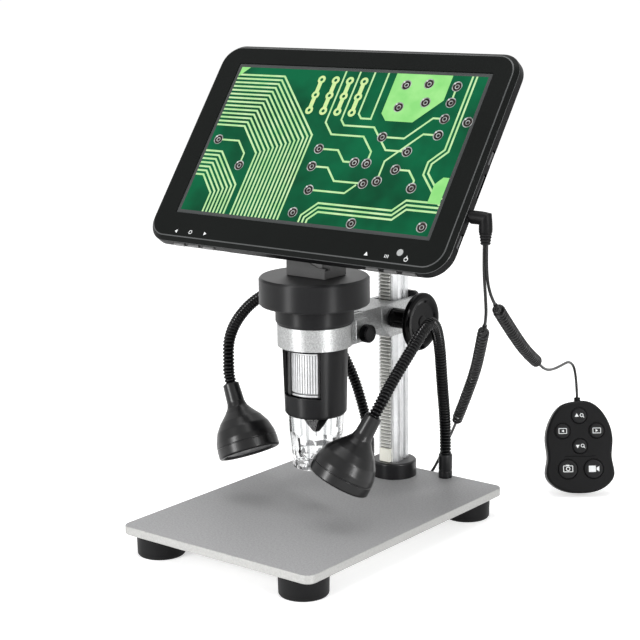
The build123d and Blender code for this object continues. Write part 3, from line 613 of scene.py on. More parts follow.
def helix(points, radius, turns, per_turn=15, ease=1.6):
    """Turns round a line; it swells out before its first turn and sinks back after its last."""
    at = walk(points)
    count = int(turns * per_turn)
    swells = []
    for k in range(count + 1):
        near = min(1.0, k / count * turns / ease, (1 - k / count) * turns / ease)
        swells.append(near * near * (3 - 2 * near))
    step = 2 * pi * turns / sum(swells)
    out = []
    side = None
    angle = 0.0
    for k, swell in enumerate(swells):
        place, forward = at(k / count)
        side = carried(side, forward)
        across = forward.cross(side)
        angle += step * swell
        out.append(place + (side * cos(angle) + across * sin(angle)) * radius * swell)
    return out


def declare_cord(obj, line, stands_for):
    """Bakes a cord's place into its mesh and hides the solids that it stands for. line is not used."""
    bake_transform(obj)
    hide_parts(*stands_for)


def along(start, end):
    """A frame at the start whose Z runs towards the end."""
    start, end = Vector(start), Vector(end)
    return Matrix.Translation(start) @ (end - start).to_track_quat("Z", "Y").to_matrix().to_4x4()


def swept(points, radius, sides):
    """Rings along a line, square to it, without twist."""
    rings = []
    side = None
    for i, place in enumerate(points):
        ahead = points[min(i + 1, len(points) - 1)] - points[max(i - 1, 0)]
        forward = ahead.normalized()
        side = carried(side, forward)
        across = forward.cross(side)
        rings.append([place + (side * cos(2 * pi * k / sides) + across * sin(2 * pi * k / sides)) * radius
                      for k in range(sides)])
    return rings


# ---------------------------------------------------------------- blocks and printed shapes
def bar(name, low, high, soft, finishes, body=None, place=None, stands_for=()):
    """A small block with eased edges."""
    (x0, y0, z0), (x1, y1, z1) = low, high
    levels = [(z0, soft), (z0 + soft, 0), (z1 - soft, 0), (z1, soft)]
    rings = [[(x + (x0 + x1) / 2, y + (y0 + y1) / 2, z) for x, y in
              rounded_ring(x1 - x0 - 2 * inset, y1 - y0 - 2 * inset, soft, 1)] for z, inset in levels]
    return lofted(name, rings, finishes, body, place, stands_for, crease=50)


def prints(name, outlines, low, high, made, body, place):
    """Flat printed shapes with a little thickness."""
    verts, faces = [], []
    for outline in outlines:
        first, count = len(verts), len(outline)
        verts += [(x, y, z) for z in (low, high) for x, y in outline]
        faces.append([first + k for k in range(count)][::-1])
        faces.append([first + count + k for k in range(count)])
        faces += [[first + k, first + (k + 1) % count, first + count + (k + 1) % count, first + count + k]
                  for k in range(count)]
    return piece(name, verts, faces, made, body, place, crease=20)


def offset_line(points, shift):
    """A line moved sideways, its corners mitred."""
    points = [Vector(p) for p in points]
    out = []
    for i, here in enumerate(points):
        sides = []
        for a, b in ((i - 1, i), (i, i + 1)):
            if a >= 0 and b < len(points):
                run = (points[b] - points[a]).normalized()
                sides.append(Vector((-run.y, run.x)))
        lean = (sides[0] + sides[-1]).normalized()
        out.append(here + lean * shift / max(lean.dot(sides[0]), 0.3))
    return out


def strip(points, width):
    """The outline of a printed line."""
    return offset_line(points, width / 2) + offset_line(points, -width / 2)[::-1]


def runs(points, width):
    """The four-cornered outlines of a printed line's straight runs."""
    one, other = offset_line(points, width / 2), offset_line(points, -width / 2)
    return [[one[i], one[i + 1], other[i + 1], other[i]] for i in range(len(points) - 1)]


def disc(x, y, radius, sides=20, start=0.0):
    turns = [start + 2 * pi * k / sides for k in range(sides)]
    return [(x + radius * cos(a), y + radius * sin(a)) for a in turns]


def ring_band(x, y, outer, inner, sides=20):
    """A printed ring as two half bands."""
    halves = []
    for start in (0, pi):
        arc = [start + pi * k / (sides // 2) for k in range(sides // 2 + 1)]
        halves.append([(x + outer * cos(a), y + outer * sin(a)) for a in arc]
                      + [(x + inner * cos(a), y + inner * sin(a)) for a in reversed(arc)])
    return halves


def frame_lines(x, y, width, height, line):
    """The four strips of a printed box."""
    w, h = width / 2, height / 2
    sides = [((-w, h), (w, h)), ((-w, -h), (w, -h)), ((-w, -h), (-w, h)), ((w, -h), (w, h))]
    return [strip([(x + a[0], y + a[1]), (x + b[0], y + b[1])], line) for a, b in sides]


def triangle(x, y, size, turn=0.0):
    return disc(x, y, size, 3, pi / 2 + turn)


# ---------------------------------------------------------------- finishes
PAINT = finish("plate_paint", srgb(154, 154, 155), 0.5, mottle=(0.13, 900), grain=(1.0, 1300, 0.00016),
               specular=0.2)
BARE_EDGE = finish("bare_edge", srgb(172, 172, 170), 0.42, metallic=0.8, mottle=(0.1, 900), grain=(0.5, 1500))
RUBBER = finish("foot_rubber", srgb(17, 17, 18), 0.5, mottle=(0.2, 120), grain=(0.4, 2500), specular=0.14)
MOULDED = finish("moulded_black", srgb(12, 12, 13), 0.42, mottle=(0.15, 90), grain=(0.4, 1700, 0.00005),
                 specular=0.1)
SATIN = finish("satin_black", srgb(11, 11, 13), 0.3, mottle=(0.12, 50), rough_spread=0.03,
               grain=(0.15, 2600), specular=0.38)
TURNED = finish("turned_black", srgb(6, 6, 8), 0.5, mottle=(0.12, 50), rough_spread=0.02,
                grain=(0.06, 2600), specular=0.34, upright=0.93)
LENS_BLACK = finish("lens_black", srgb(8, 8, 9), 0.4, mottle=(0.12, 90), specular=0.07)
CHARCOAL = finish("bracket_charcoal", srgb(84, 84, 84), 0.45, mottle=(0.1, 70), specular=0.2,
                  grain=(0.35, 1700, 0.00005))
GLOSS = finish("knob_gloss", srgb(7, 7, 8), 0.14, mottle=(0.1, 50), rough_spread=0.03, specular=0.08)
# The menu keys' mid grey is in part a painted highlight, raised so that the keys read as light lines under
# the bezel.
KEY_RUBBER_PAINTED_HIGHLIGHT = finish("key_rubber_painted_highlight", srgb(92, 92, 92), 0.32, mottle=(0.1, 90), grain=(0.2, 2500))
BEZEL = finish("bezel_black", srgb(14, 16, 15), 0.4, mottle=(0.08, 30), grain=(0.12, 2600), specular=0.06)
# A lighter grey for the bezel's edge rings: a painted highlight along the rounding by the front face and on
# the rear lip.
BEZEL_PAINTED_HIGHLIGHT = finish("bezel_edge_painted_highlight", srgb(58, 60, 60), 0.3, mottle=(0.1, 60))
ALUMINIUM = finish("drawn_aluminium", srgb(220, 221, 222), 0.34, metallic=0.9, mottle=(0.06, 300),
                   grain=(0.5, 1500, 0.0001))
RACK = finish("rack_silver", srgb(218, 218, 214), 0.4, metallic=0.35, mottle=(0.06, 200), grain=(0.3, 2500))
# The rack's backing strip is a darker copy of the teeth's silver: painted shade in the gaps between the
# teeth.
RACK_ROOT_PAINTED_SHADE = finish("rack_root_painted_shade", srgb(104, 104, 102), 0.5, metallic=0.3, mottle=(0.12, 200),
                   grain=(0.3, 2500))
IVORY = finish("rack_ivory", srgb(232, 231, 220), 0.45, mottle=(0.04, 90), grain=(0.15, 2500))
CAST = finish("blasted_casting", srgb(174, 175, 175), 0.43, metallic=0.9, mottle=(0.2, 1500),
              grain=(0.8, 1500, 0.00014), upright=0.8)
STEEL = finish("turned_steel", srgb(190, 190, 192), 0.28, metallic=1.0, mottle=(0.1, 60), grain=(0.15, 2500))
RIBBED = finish("ribbed_silver", srgb(200, 201, 202), 0.36, metallic=0.7, mottle=(0.1, 300),
                grain=(0.3, 2500))
# The wheel's root is a darker copy of the ribs' silver: painted shade in the gaps between the ribs.
WHEEL_ROOT_PAINTED_SHADE = finish("wheel_root_painted_shade", srgb(120, 121, 122), 0.4, metallic=0.7, mottle=(0.1, 60),
                    grain=(0.1, 2500))
LACQUER = finish("neck_lacquer", srgb(5, 5, 6), 0.12, mottle=(0.2, 500), rough_spread=0.03, specular=0.2)
LAMP_SATIN = finish("lamp_satin", srgb(6, 6, 7), 0.3, rough_spread=0.02, grain=(0.06, 2600), specular=0.34)
FROST = finish("lens_frost", srgb(88, 89, 91), 0.35, mottle=(0.08, 300), grain=(0.4, 2500))
FROST_RIM = finish("lens_rim", srgb(176, 178, 180), 0.3, mottle=(0.05, 300))
JACKET = finish("cord_jacket", srgb(9, 9, 10), 0.34, mottle=(0.15, 400), specular=0.3)
BOARD = finish("solder_mask", srgb(20, 96, 52), 0.35, mottle=(0.15, 200))
DARK_BOARD = finish("dark_board", srgb(24, 26, 25), 0.4, mottle=(0.15, 200), specular=0.2)
FOIL = finish("pack_wrap", srgb(132, 138, 144), 0.4, mottle=(0.08, 60))
SCREEN_EDGE = finish("screen_edge", srgb(62, 64, 64), 0.35, mottle=(0.08, 60), specular=0.1)
SOCKET_METAL = finish("socket_metal", srgb(84, 85, 86), 0.35, metallic=0.6, mottle=(0.15, 60),
                      grain=(0.2, 2500))
INK = finish("white_ink", srgb(214, 216, 216), 0.5, mottle=(0.04, 900))
SENSOR_GREY = finish("sensor_window", srgb(150, 152, 152), 0.25, mottle=(0.05, 60))
CLEAR = clear("clear_moulding", (0.9, 0.905, 0.905), 0.01)
# A grey-tinted copy of the clear moulding for the snout's facet corners: painted dark streaks in place of
# what the clear wall refracts.
SNOUT_PAINTED_STREAK = clear("clear_moulding_painted_streak", (0.34, 0.35, 0.36), 0.08)
LED = lit("lamp_chip", (250, 247, 232), (240, 238, 226), 900, 0.9)
MASK = lit("screen_board", (0, 106, 66), (0, 76, 46), 34)
TRACE = lit("screen_trace", (212, 246, 186), (182, 234, 160), 140)
COPPER = lit("screen_copper", (166, 238, 146), (146, 226, 130), 110)
SOLDER = lit("screen_solder", (206, 210, 208), (120, 122, 120), 420)
BORE = lit("screen_bore", (64, 50, 48), (26, 26, 24), 500)
GOLD = lit("screen_pads", (228, 244, 170), (196, 240, 160), 500)
GLINT = lit("screen_glint", (236, 238, 236), (196, 200, 198), 500)


def set_floor():
    """A white floor that keeps its shadows; where it is seen it glows, less so near the object."""
    made = bpy.data.materials.new("studio_floor")
    made.use_nodes = True
    tree = made.node_tree
    tree.nodes.clear()
    tone = ramp(tree, noise(tree, 3.0), [(0.3, (0.84, 0.84, 0.84)), (0.7, (0.88, 0.88, 0.88))])
    plain = node(tree, "ShaderNodeBsdfDiffuse", {"Color": tone})
    where = node(tree, "ShaderNodeTexCoord").outputs["Object"]
    away = node(tree, "ShaderNodeVectorMath", {0: where}, operation="LENGTH").outputs["Value"]
    white = spread(tree, away, 0.54, 0.72, 0.25, 1.5)
    glow = node(tree, "ShaderNodeEmission", {"Strength": maths(tree, "MULTIPLY", is_seen(tree), white)})
    both = node(tree, "ShaderNodeAddShader", {0: plain.outputs[0], 1: glow.outputs[0]})
    node(tree, "ShaderNodeOutputMaterial", {"Surface": both.outputs[0]})
    reach = 14000
    quarters = ((-reach, -reach), (reach, -reach), (reach, reach), (-reach, reach))
    corners = [(x, y, FLOOR_Z) for x, y in quarters]
    piece("studio_floor", corners, [[0, 1, 2, 3]], made)


# ---------------------------------------------------------------- base
def base():
    edge = 0.35
    levels = [(PLATE_LOW, edge), (PLATE_LOW + edge, 0), (-edge, 0), (-0.08, edge * 0.6), (0.0, edge + 0.15)]
    lofted("stage_plate", plate_rings(*PLATE, PLATE_CORNER, levels), [PAINT, BARE_EDGE], "stand",
           stands_for=("base_plate",), tone_at=lambda ring: 1 if ring < 3 else 0)
    foot = turned_part("foot", [(1.6, -6.5), (3.6, -6.5), (3.6, -10.9, 0.3), (11.4, -10.9, 0.5),
                                (12.0, -10.1, 0.4), (12.2, -2.4, 0.5), (12.2, 0, 0.3), (1.6, 0)], 56)
    at_spots("feet", foot, corners_of(*FOOT_AT, PLATE_LOW), RUBBER, "stand", stands_for=("rubber_feet",),
             slot="rubber_black")
    repaint("foot_screws", STEEL)
    eased("wiring_cover", MOULDED, "stand")
    gland = Matrix.Translation(GLAND_AT) @ Matrix.Rotation(-pi / 2, 4, "X")
    turned("cable_gland_boot", [(0, -2.0), (1.4, -2.0), (1.4, 0), (2.5, 0.05, 0.3), (2.5, 1.3, 0.4),
                                (1.95, 1.7, 0.3), (1.35, 3.7, 0.2), (0, 3.7)],
           MOULDED, "stand", gland, ("cable_gland",), 32)
    sleeve = turned_part("sleeve", [(2.9, 2.8), (2.9, 13.1, 0.1), (3.3, 13.1, 0.3), (3.7, 12.4, 0.4),
                                    (3.7, 4.3, 0.2), (3.45, 4.1, 0.1), (3.45, 3.7, 0.1), (3.7, 3.5, 0.2),
                                    (3.7, 0, 0.2), (2.9, 0)], 40)
    spots = [(sign * SLEEVE_AT[0], SLEEVE_AT[1], 0) for sign in (-1, 1)]
    at_spots("neck_sleeves", sleeve, spots, SATIN, "stand", stands_for=("gooseneck_sleeves",),
             slot="ring_black")


# ---------------------------------------------------------------- column and carriage
def column_outline():
    """The drawn bar's section: front lip, round rib with two fine grooves, deep groove, back facet."""
    half, front = COLUMN_HALF, COLUMN_FRONT
    lip, rib, bulge, steps = 0.6, 8.6, 1.0, 14
    right = [(half, front, 0.1), (half, front + lip, 0.1)]
    for k in range(1, steps):
        x, y = half + bulge * sin(pi * k / steps), front + lip + rib * k / steps
        if k in (4, 10):
            right += [(x, y - 0.25, 0), (x - 0.45, y, 0), (x, y + 0.25, 0)]
        else:
            right.append((x, y, 0))
    right += [(half, front + 9.2, 0.1), (half - 0.8, front + 9.7, 0.1), (half - 0.8, front + 10.3, 0.1),
              (half + 0.3, front + 10.8, 0.1), (half + 0.3, front + 13.4, 0.15),
              (half - 0.7, front + 14.4, 0.15)]
    corners = right + [(-x, y, r) for x, y, r in reversed(right)]
    return softened(corners, closed=True, steps=2)


def column():
    rings = [[(p.x, p.y, z) for p in column_outline()] for z in COLUMN_ENDS]
    lofted("column_bar", rings, ALUMINIUM, "stand", stands_for=("column",), crease=24)
    rack()
    eased("column_base_ring", SATIN, "stand")
    eased("column_top_cap", MOULDED, "stand", 0.5)


def rack():
    """A plain foot, a backing strip, and teeth set along it."""
    half, dedendum = RACK_W / 2, 1.25 * MODULE
    root, tip = RACK_PITCH_Y + dedendum, RACK_PITCH_Y - MODULE
    bar("rack_foot", (-half, tip, RACK_LOW), (half, RACK_BACK, RACK_PLAIN_TOP), 0.2, IVORY, "stand")
    # The strip behind the teeth takes the darker silver: painted shade in the gaps.
    bar("rack_strip", (-half, root, RACK_PLAIN_TOP), (half, RACK_BACK, RACK_TOP), 0.08, RACK_ROOT_PAINTED_SHADE, "stand",
        stands_for=("gear_rack",))
    slope = tan(PRESSURE_ANGLE)
    half_tip, half_root = PITCH / 4 - MODULE * slope, PITCH / 4 + dedendum * slope
    corners = [(root + 0.02, -half_root), (tip, -half_tip), (tip, half_tip), (root + 0.02, half_root)]
    verts = [(x, y, z) for x in (-half, half) for y, z in corners]
    sides = [[k, (k + 1) % 4, 4 + (k + 1) % 4, 4 + k] for k in range(4)]
    tooth = blank("rack_tooth", verts, sides + [[3, 2, 1, 0], [4, 5, 6, 7]])
    first = int((RACK_PLAIN_TOP + 1.6 - PINION[1]) / PITCH) - 1
    last = int((RACK_TOP - 1.0 - PINION[1]) / PITCH)
    spots = [(0, 0, PINION[1] + (k + 0.5) * PITCH) for k in range(first, last)]
    at_spots("rack_teeth", tooth, spots, RACK, "stand", slot="rack_ivory")


def carriage():
    eased("carriage_arm", CAST, "carriage", 0.55, 3)
    eased("carriage_rear_plate", SATIN, "carriage", 0.35)
    repaint("pinion_shaft", STEEL)
    profile = [(0, 9.4), (5.2, 9.4, 0.3), (5.2, 24.2, 0.6), (13.8, 24.6, 0.8), (15.0, 25.4, 0.6),
               (15.0, 27.4, 0.6), (14.2, 28.1, 0.6), (12.6, 28.35, 0.6), (11.2, 28.1, 0.8), (9.8, 27.5, 0.8),
               (3.2, 27.3, 0.4), (2.6, 27.7, 0.3), (0, 27.7)]
    for side, sign in (("left", -1), ("right", 1)):
        place = Matrix.Translation((0, *PINION)) @ Matrix.Rotation(sign * pi / 2, 4, "Y")
        turned(f"focus_hand_knob_{side}", profile, GLOSS, "pinion", place, (f"focus_knob_{side}",))
    thumb_screw()
    jaw = softened([(8.7, 17.2, 0.3), (12.3, 17.2, 0.6), (12.3, 26.6, 0.3), (11.0, 26.6, 0.3),
                    (11.0, 18.8, 0.2), (10.3, 18.8, 0.2), (10.3, 26.6, 0.3), (8.7, 26.6, 0.3)],
                   closed=True, steps=3)
    lofted("clamp_jaw", [[(p.x, p.y, z) for p in jaw] for z in (84.9, 95.2)], CAST, "carriage", crease=40)


def thumb_screw():
    """A ribbed round head on a shank."""
    place = Matrix.Translation(THUMB_SCREW_AT) @ Matrix.Rotation(pi / 2, 4, "Y")
    profile = [(0, -1.6), (1.2, -1.6, 0.1), (1.5, -1.2, 0.1), (1.5, 12.4), (2.3, 12.45, 0.2),
               (2.3, 13.2, 0.2), (4.1, 13.3, 0.2), (4.5, 13.7, 0.2), (4.5, 17.4, 0.2), (4.2, 17.8, 0.2),
               (0, 17.8)]
    turned("clamp_screw", profile, GLOSS, "thumb_screw", place, ("clamp_thumb_screw",), 48)
    set_round("clamp_screw_ribs", (4.25, -0.35, 13.8), (4.65, 0.35, 17.3), 0.12, 26, GLOSS, "thumb_screw",
              place)


# ---------------------------------------------------------------- scope
def scope():
    head = [(17.2, 96.1), (18.9, 96.1, 0.3), (19.7, 97.6, 0.8), (19.7, 104.9, 0.5), (20.3, 105.7, 0.4),
            (27.0, 105.7, 0.6), (27.7, 106.5, 0.4), (27.7, 118.9, 0.6), (26.8, 119.9, 0.6), (0, 119.9)]
    inside = [(0, 117.5), (25.5, 117.5), (25.5, 107.7), (17.2, 107.7)]
    turned("scope_head", head + inside, TURNED, "carriage", SCOPE, ("scope_disc_housing",), 128, closed=True)
    eased("scope_body", TURNED, "carriage")
    repaint("sensor_board", BOARD)
    focus_wheel()
    barrel = [(1.3, 42.2), (3.6, 46.5), (6.4, 58.0), (6.4, 80.0), (8.1, 80.0), (8.1, 57.0), (6.6, 56.0, 0.3),
              (6.6, 47.6, 0.5), (6.0, 46.2, 0.4), (2.3, 40.6, 0.4), (1.7, 40.0, 0.2), (1.3, 40.1)]
    turned("lens_tube", barrel, LENS_BLACK, "lens", SCOPE, ("lens_barrel",), 72, closed=True)
    repaint("ring_light_board", DARK_BOARD)
    set_round("snout_lights", (9.2, -1.0, 48.7), (11.2, 1.0, 49.8), 0.25, SNOUT_LIGHTS, LED, "carriage",
              SCOPE @ Matrix.Rotation(pi / SNOUT_LIGHTS, 4, "Z"))
    snout()


def focus_wheel():
    """The ribbed wheel between its rims, and the sides of the window that shows it."""
    low, high, root = 60.35, 83.05, 13.0
    rims = [(8.4, low), (WHEEL_R - 0.3, low, 0.2), (WHEEL_R, low + 0.25, 0.1), (WHEEL_R, low + 1.15, 0.1),
            (12.7, low + 1.25), (12.7, low + 1.75), (root, low + 1.85), (root, high - 1.15),
            (WHEEL_R, high - 1.05, 0.1), (WHEEL_R, high - 0.25, 0.1), (WHEEL_R - 0.3, high, 0.2), (8.4, high)]
    # The rims take the ribs' silver; the root between them and the wheel's inside take the darker silver of
    # painted shade.
    turned("wheel_core", rims, [WHEEL_ROOT_PAINTED_SHADE, RIBBED], "wheel", SCOPE, ("focus_wheel",), 96, closed=True,
           tone_at=lambda a, b: 1 if min(a[0], b[0]) > root + 0.05 else 0)
    set_round("wheel_ribs", (WHEEL_R - 0.6, -0.5, 62.25), (WHEEL_R, 0.5, 81.95), 0.12, WHEEL_RIBS, RIBBED,
              "wheel", SCOPE)
    section = [(13.45, 60.2), (14.3, 60.2), (14.3, 83.2), (13.45, 83.2)]
    steps = 8
    for side, start, end in WINDOW_SIDES:
        turns = [radians(start + (end - start) * k / steps) for k in range(steps + 1)]
        lofted(f"window_jamb_{side}", [[(r * cos(a), r * sin(a), z) for r, z in section] for a in turns],
               SATIN, "carriage", SCOPE)


def snout():
    """A clear cone with a faceted inner wall; along each corner of its facets the wall is tinted grey,
    painted dark
    streaks that stand in for the refraction in the clear wall. An outline point is (radius, height, facets):
    0 for round, 1 for facets, 2 for facets half a facet on."""
    share, steps = 2 * pi / SNOUT_FACETS, 108
    outline = [(12.2, 51.4, 0), (12.7, 49.3, 0), (12.3, 41.0, 0), (11.9, 38.0, 2), (11.1, 31.0, 2),
               (10.8, 28.6, 1), (10.5, 25.0, 1), (10.7, 23.6, 2), (10.2, 21.8, 1), (11.4, 21.8, 0),
               (11.9, 22.2, 0), (12.05, 22.8, 0), (12.2, 24.6, 0), (14.4, 49.2, 0), (14.4, 51.2, 0),
               (14.0, 51.4, 0)]
    rings = []
    for radius, z, facets in outline:
        ring = []
        for k in range(steps):
            angle = 2 * pi * k / steps
            part = (angle + share / 2 * (facets == 2)) % share - share / 2
            reach = radius * (cos(share / 2) / cos(part) + 0.03 if facets else 1)
            ring.append((reach * cos(angle), reach * sin(angle), z))
        rings.append(ring)
    cone = lofted("clear_cone", rings, [CLEAR, SNOUT_PAINTED_STREAK], "carriage",
                  SCOPE @ Matrix.Rotation(SNOUT_TURN, 4, "Z"), ("clear_snout",), loop=True, crease=10)
    # Faces by the inner corners of the facets take the grey tint: painted dark streaks.
    for face in cone.data.polygons:
        middle = face.center / MM - SCOPE.translation
        turn = ((atan2(middle.y, middle.x) - SNOUT_TURN) / share) % 1
        if Vector(middle.xy).length < 13.0 and abs(turn - 0.5) > 0.41 and 23 < middle.z < 50:
            face.material_index = 1


def hinge():
    eased("hinge_bracket", CHARCOAL, "carriage", 0.45, 3)
    eased("hinge_arm", MOULDED, "monitor", 0.4)
    eased("hinge_pin", STEEL, "monitor")


# ---------------------------------------------------------------- monitor
def monitor():
    lip = [(-2.5, 0.2), (-2.35, 0.06), (-2.1, 0.2), (-0.5, 1.95), (-0.24, 2.2), (-0.06, 2.42), (0.0, 2.75),
           (0.0, 3.2)]
    window = [(0.0, -0.35), (-0.06, -0.12), (-0.3, 0.0), (-2.5, 0.0)]
    rings = plate_rings(*CASE, lip)
    for z, inset in window:
        rings.append([(x + LCD_SHIFT[0], y + LCD_SHIFT[1], z) for x, y in
                      rounded_ring(LCD[0] + 4 - 2 * inset, LCD[1] + 4 - 2 * inset, 0.5)])
    # The rings at the rear lip and at the rounding by the front face take the lighter grey of a painted
    # highlight.
    lofted("bezel", rings, [BEZEL, BEZEL_PAINTED_HIGHLIGHT], "monitor", FACE, ("front_bezel",), loop=True, crease=26,
           tone_at=lambda ring: 1 if ring in (0, 1, 4, 5) else 0)
    eased("rear_cover", MOULDED, "monitor", 0.5, 3)
    repaint("main_board", BOARD)
    repaint("battery_pack", FOIL)
    back = plate_rings(LCD[0] + 10, LCD[1] + 8, 1.0, [(-5.7, 0), (-2.6, 0)], LCD_SHIFT)
    glass = plate_rings(LCD[0] + 3.8, LCD[1] + 3.8, 0.4, [(-2.6, 0), (-0.62, 0), (-0.52, 0.1)], LCD_SHIFT)
    lofted("screen_panel", back + glass, SCREEN_EDGE, "monitor", FACE, ("lcd_panel",))
    screw = turned_part("case_screw", [(0, -7.9), (1.1, -7.9), (1.3, -8.5, 0.1), (2.1, -8.5, 0.2),
                                       (2.4, -8.1, 0.2), (2.4, -7.3), (1.1, -7.3), (1.1, -3.1), (0, -3.1)],
                        28)
    at_spots("cover_screws", screw, corners_of(*CASE_SCREW_AT, 0), STEEL, "monitor", FACE, ("case_screws",),
             "zinc_screw")
    for k in range(1, 7):
        # The keys' grey is in part a painted highlight.
        eased(f"menu_button_{k}", KEY_RUBBER_PAINTED_HIGHLIGHT, f"menu_key_{k}")
    side_ports()
    marks()
    screen_picture()


def side_ports():
    """Flush sockets in the case's right side, each (place up the side, length, height)."""
    inner, outer, middle = 91.9, 92.4, -5.4
    for k, (v, length, height) in enumerate(((4.4, 8.0, 2.8), (-10.7, 13.0, 2.2), (-39.6, 7.4, 2.8)), 1):
        bar(f"side_port_{k}", (inner, v - length / 2 + 0.5, middle - height / 2 + 0.45),
            (outer, v + length / 2 - 0.5, middle + height / 2 - 0.45), 0.1, SOCKET_METAL, "monitor", FACE)


def marks():
    """Plain printed signs by the keys and the remote's window, their places from the screen's centre."""
    centre = FACE @ Matrix.Translation((0.94, 1.95, 0))
    shapes = [triangle(-73, -55.7, 1.15, pi / 2), triangle(-53.8, -55.3, 1.15, -pi / 2)]
    shapes += ring_band(-63.5, -55.4, 1.1, 0.75)
    shapes += [triangle(47.8, -55.5, 1.3)]
    shapes += [strip([(x, -56.1), (x, -54.5)], 0.35) for x in (58.6, 59.5, 60.4)]
    shapes += ring_band(70.7, -55.7, 1.15, 0.8) + [strip([(70.7, -55.4), (70.7, -53.8)], 0.35)]
    prints("key_signs", shapes, -0.01, 0.02, INK, "monitor", centre)
    turned("sensor_window", [(0, -0.02), (1.75, -0.02), (1.75, 0.0), (1.5, 0.04), (0, 0.05)], SENSOR_GREY,
           "monitor", centre @ Matrix.Translation((66.1, -52.6, 0)), steps=32)


# The screen's picture is a made-up circuit board, in millimetres from the middle of the case.
BOARD_Z = -0.50
TRACE_PITCH = 2.35
TRACE_WIDTH = 1.05
SINGLE_WIDTH = 1.0
TRACE_BUNDLES = [
    ([(-90, 25), (-51, 25), (-27, 1), (-27, -60)], 14),
    ([(-90, -13), (-68, -13), (-54, -27), (-54, -60)], 7),
    ([(70.6, 60), (70.6, 4), (64, -3), (64, -9), (90, -35)], 2),
    ([(4, -60), (4, -38), (10, -32), (54, -32), (60, -26), (90, -26)], 3),
]
SINGLE_TRACES = [
    [(-6.5, 60), (-6.5, 15), (0, 8.5), (20, 8.5), (28, 0.5), (28, -5)],
    [(2.5, 60), (2.5, 17), (5.5, 14), (24, 14), (36, 2), (48, 2)],
    [(11.5, 60), (11.5, 21), (14, 18.5), (20, 18.5), (20, 60)],
    [(62.5, 38.5), (62.5, 30)], [(62.5, 12), (54, 12), (44, 2), (38, -4), (38, -14)],
    [(62.5, 21), (56, 21), (44, 9), (31, 9)], [(-4, 0), (8, 0), (14, -6), (20, -6)],
    [(-4, -10), (6, -10), (13, -17), (30, -17)], [(0, -23), (22, -23), (27, -18)],
    [(46, -8), (54, -8), (59, -13), (59, -17)], [(-50, -13), (-50, -6), (-57, 1), (-72, 1)],
]
COPPER_FIELDS = [[(25, 44.9), (58, 44.9), (58, 31), (45, 18), (29, 18), (25, 22)],
                 [(74.6, -10), (77.9, -10), (77.9, -24), (71, -24), (71, -14)],
                 [(-75.9, 44.9), (-70, 44.9), (-75.9, 39.0)]]
PAD_COLUMNS = [-20 + 9 * k for k in range(4)]
PAD_ROWS = [39.4 - 9 * k for k in range(3)]
VIAS = [(33, 38.6), (46, 39.8), (33.6, 26), (48, 29.4), (62.5, 39), (62.5, 30), (62.5, 21), (62.5, 12),
        (31, 9), (28, -6), (48.6, 2), (38, -15), (-4, 0), (20.6, -6), (-4, -10), (30.6, -17), (0, -23),
        (46, -8), (59, -17), (-50, -13), (-71, 1), (76, 20), (-4, -36), (33, -38.5), (73, -36.5)]
# Each layer of a via: name, finish, radius, shift across the board, height.
VIA_LAYERS = [("rings", SOLDER, 2.85, 0, -0.455), ("wells", BORE, 2.35, 0.12, -0.45),
              ("barrels", SOLDER, 1.3, 0.15, -0.445), ("bores", BORE, 0.85, 0.2, -0.44)]


def screen_picture():
    """A generic circuit board: bundled traces, pads, copper fields and vias."""
    (cx, cy), w, h = LCD_SHIFT, LCD[0] / 2, LCD[1] / 2
    low, high = Vector((cx - w, cy - h)), Vector((cx + w, cy + h))
    area = [low, (high.x, low.y), high, (low.x, high.y)]
    show("board", [area], MASK, BOARD_Z, -0.54)
    lines = []
    for route, count in TRACE_BUNDLES:
        for k in range(count):
            shift = (k - (count - 1) / 2) * TRACE_PITCH
            lines += runs(clip_line(offset_line(route, shift), low, high), TRACE_WIDTH)
    for route in SINGLE_TRACES:
        lines += runs(clip_line([Vector(p) for p in route], low, high), SINGLE_WIDTH)
    show("traces", lines, TRACE, -0.47)
    show("copper", COPPER_FIELDS, COPPER, -0.465)
    pads = [(x, y) for x in PAD_COLUMNS for y in PAD_ROWS]
    bars = [strip([(x, 37.6), (x, 23.2)], 2.5) for x in PAD_COLUMNS]
    show("pads", [disc(x, y, 2.35, 18) for x, y in pads] + bars, GOLD, -0.46)
    show("pad_bores", [disc(x, y, 0.95, 12) for x, y in pads], MASK, -0.455)
    for name, made, radius, shift, height in VIA_LAYERS:
        sides = 20 if radius > 1 else 10
        show("via_" + name, [disc(x + shift, y - shift, radius, sides) for x, y in VIAS], made, height)
    show("via_glints", [disc(x - 1.75, y + 1.6, 0.55, 10) for x, y in VIAS], GLINT, -0.44)


def show(name, outlines, made, height, low=BOARD_Z):
    """One layer of the screen's picture."""
    prints("picture_" + name, outlines, low, height, made, "monitor", FACE)


def clip_line(points, low, high):
    """A line kept between two corners of the picture."""
    kept = []
    for a, b in zip(points, points[1:]):
        t0, t1 = 0.0, 1.0
        run = b - a
        for start, step, lowest, highest in ((a.x, run.x, low.x, high.x), (a.y, run.y, low.y, high.y)):
            if abs(step) < 1e-9:
                if not lowest <= start <= highest:
                    t0, t1 = 1.0, 0.0
                continue
            ends = sorted(((lowest - start) / step, (highest - start) / step))
            t0, t1 = max(t0, ends[0]), min(t1, ends[1])
        if t0 < t1:
            kept += [a + run * t0, a + run * t1]
    return [p for i, p in enumerate(kept) if i == 0 or (p - kept[i - 1]).length > 0.01]


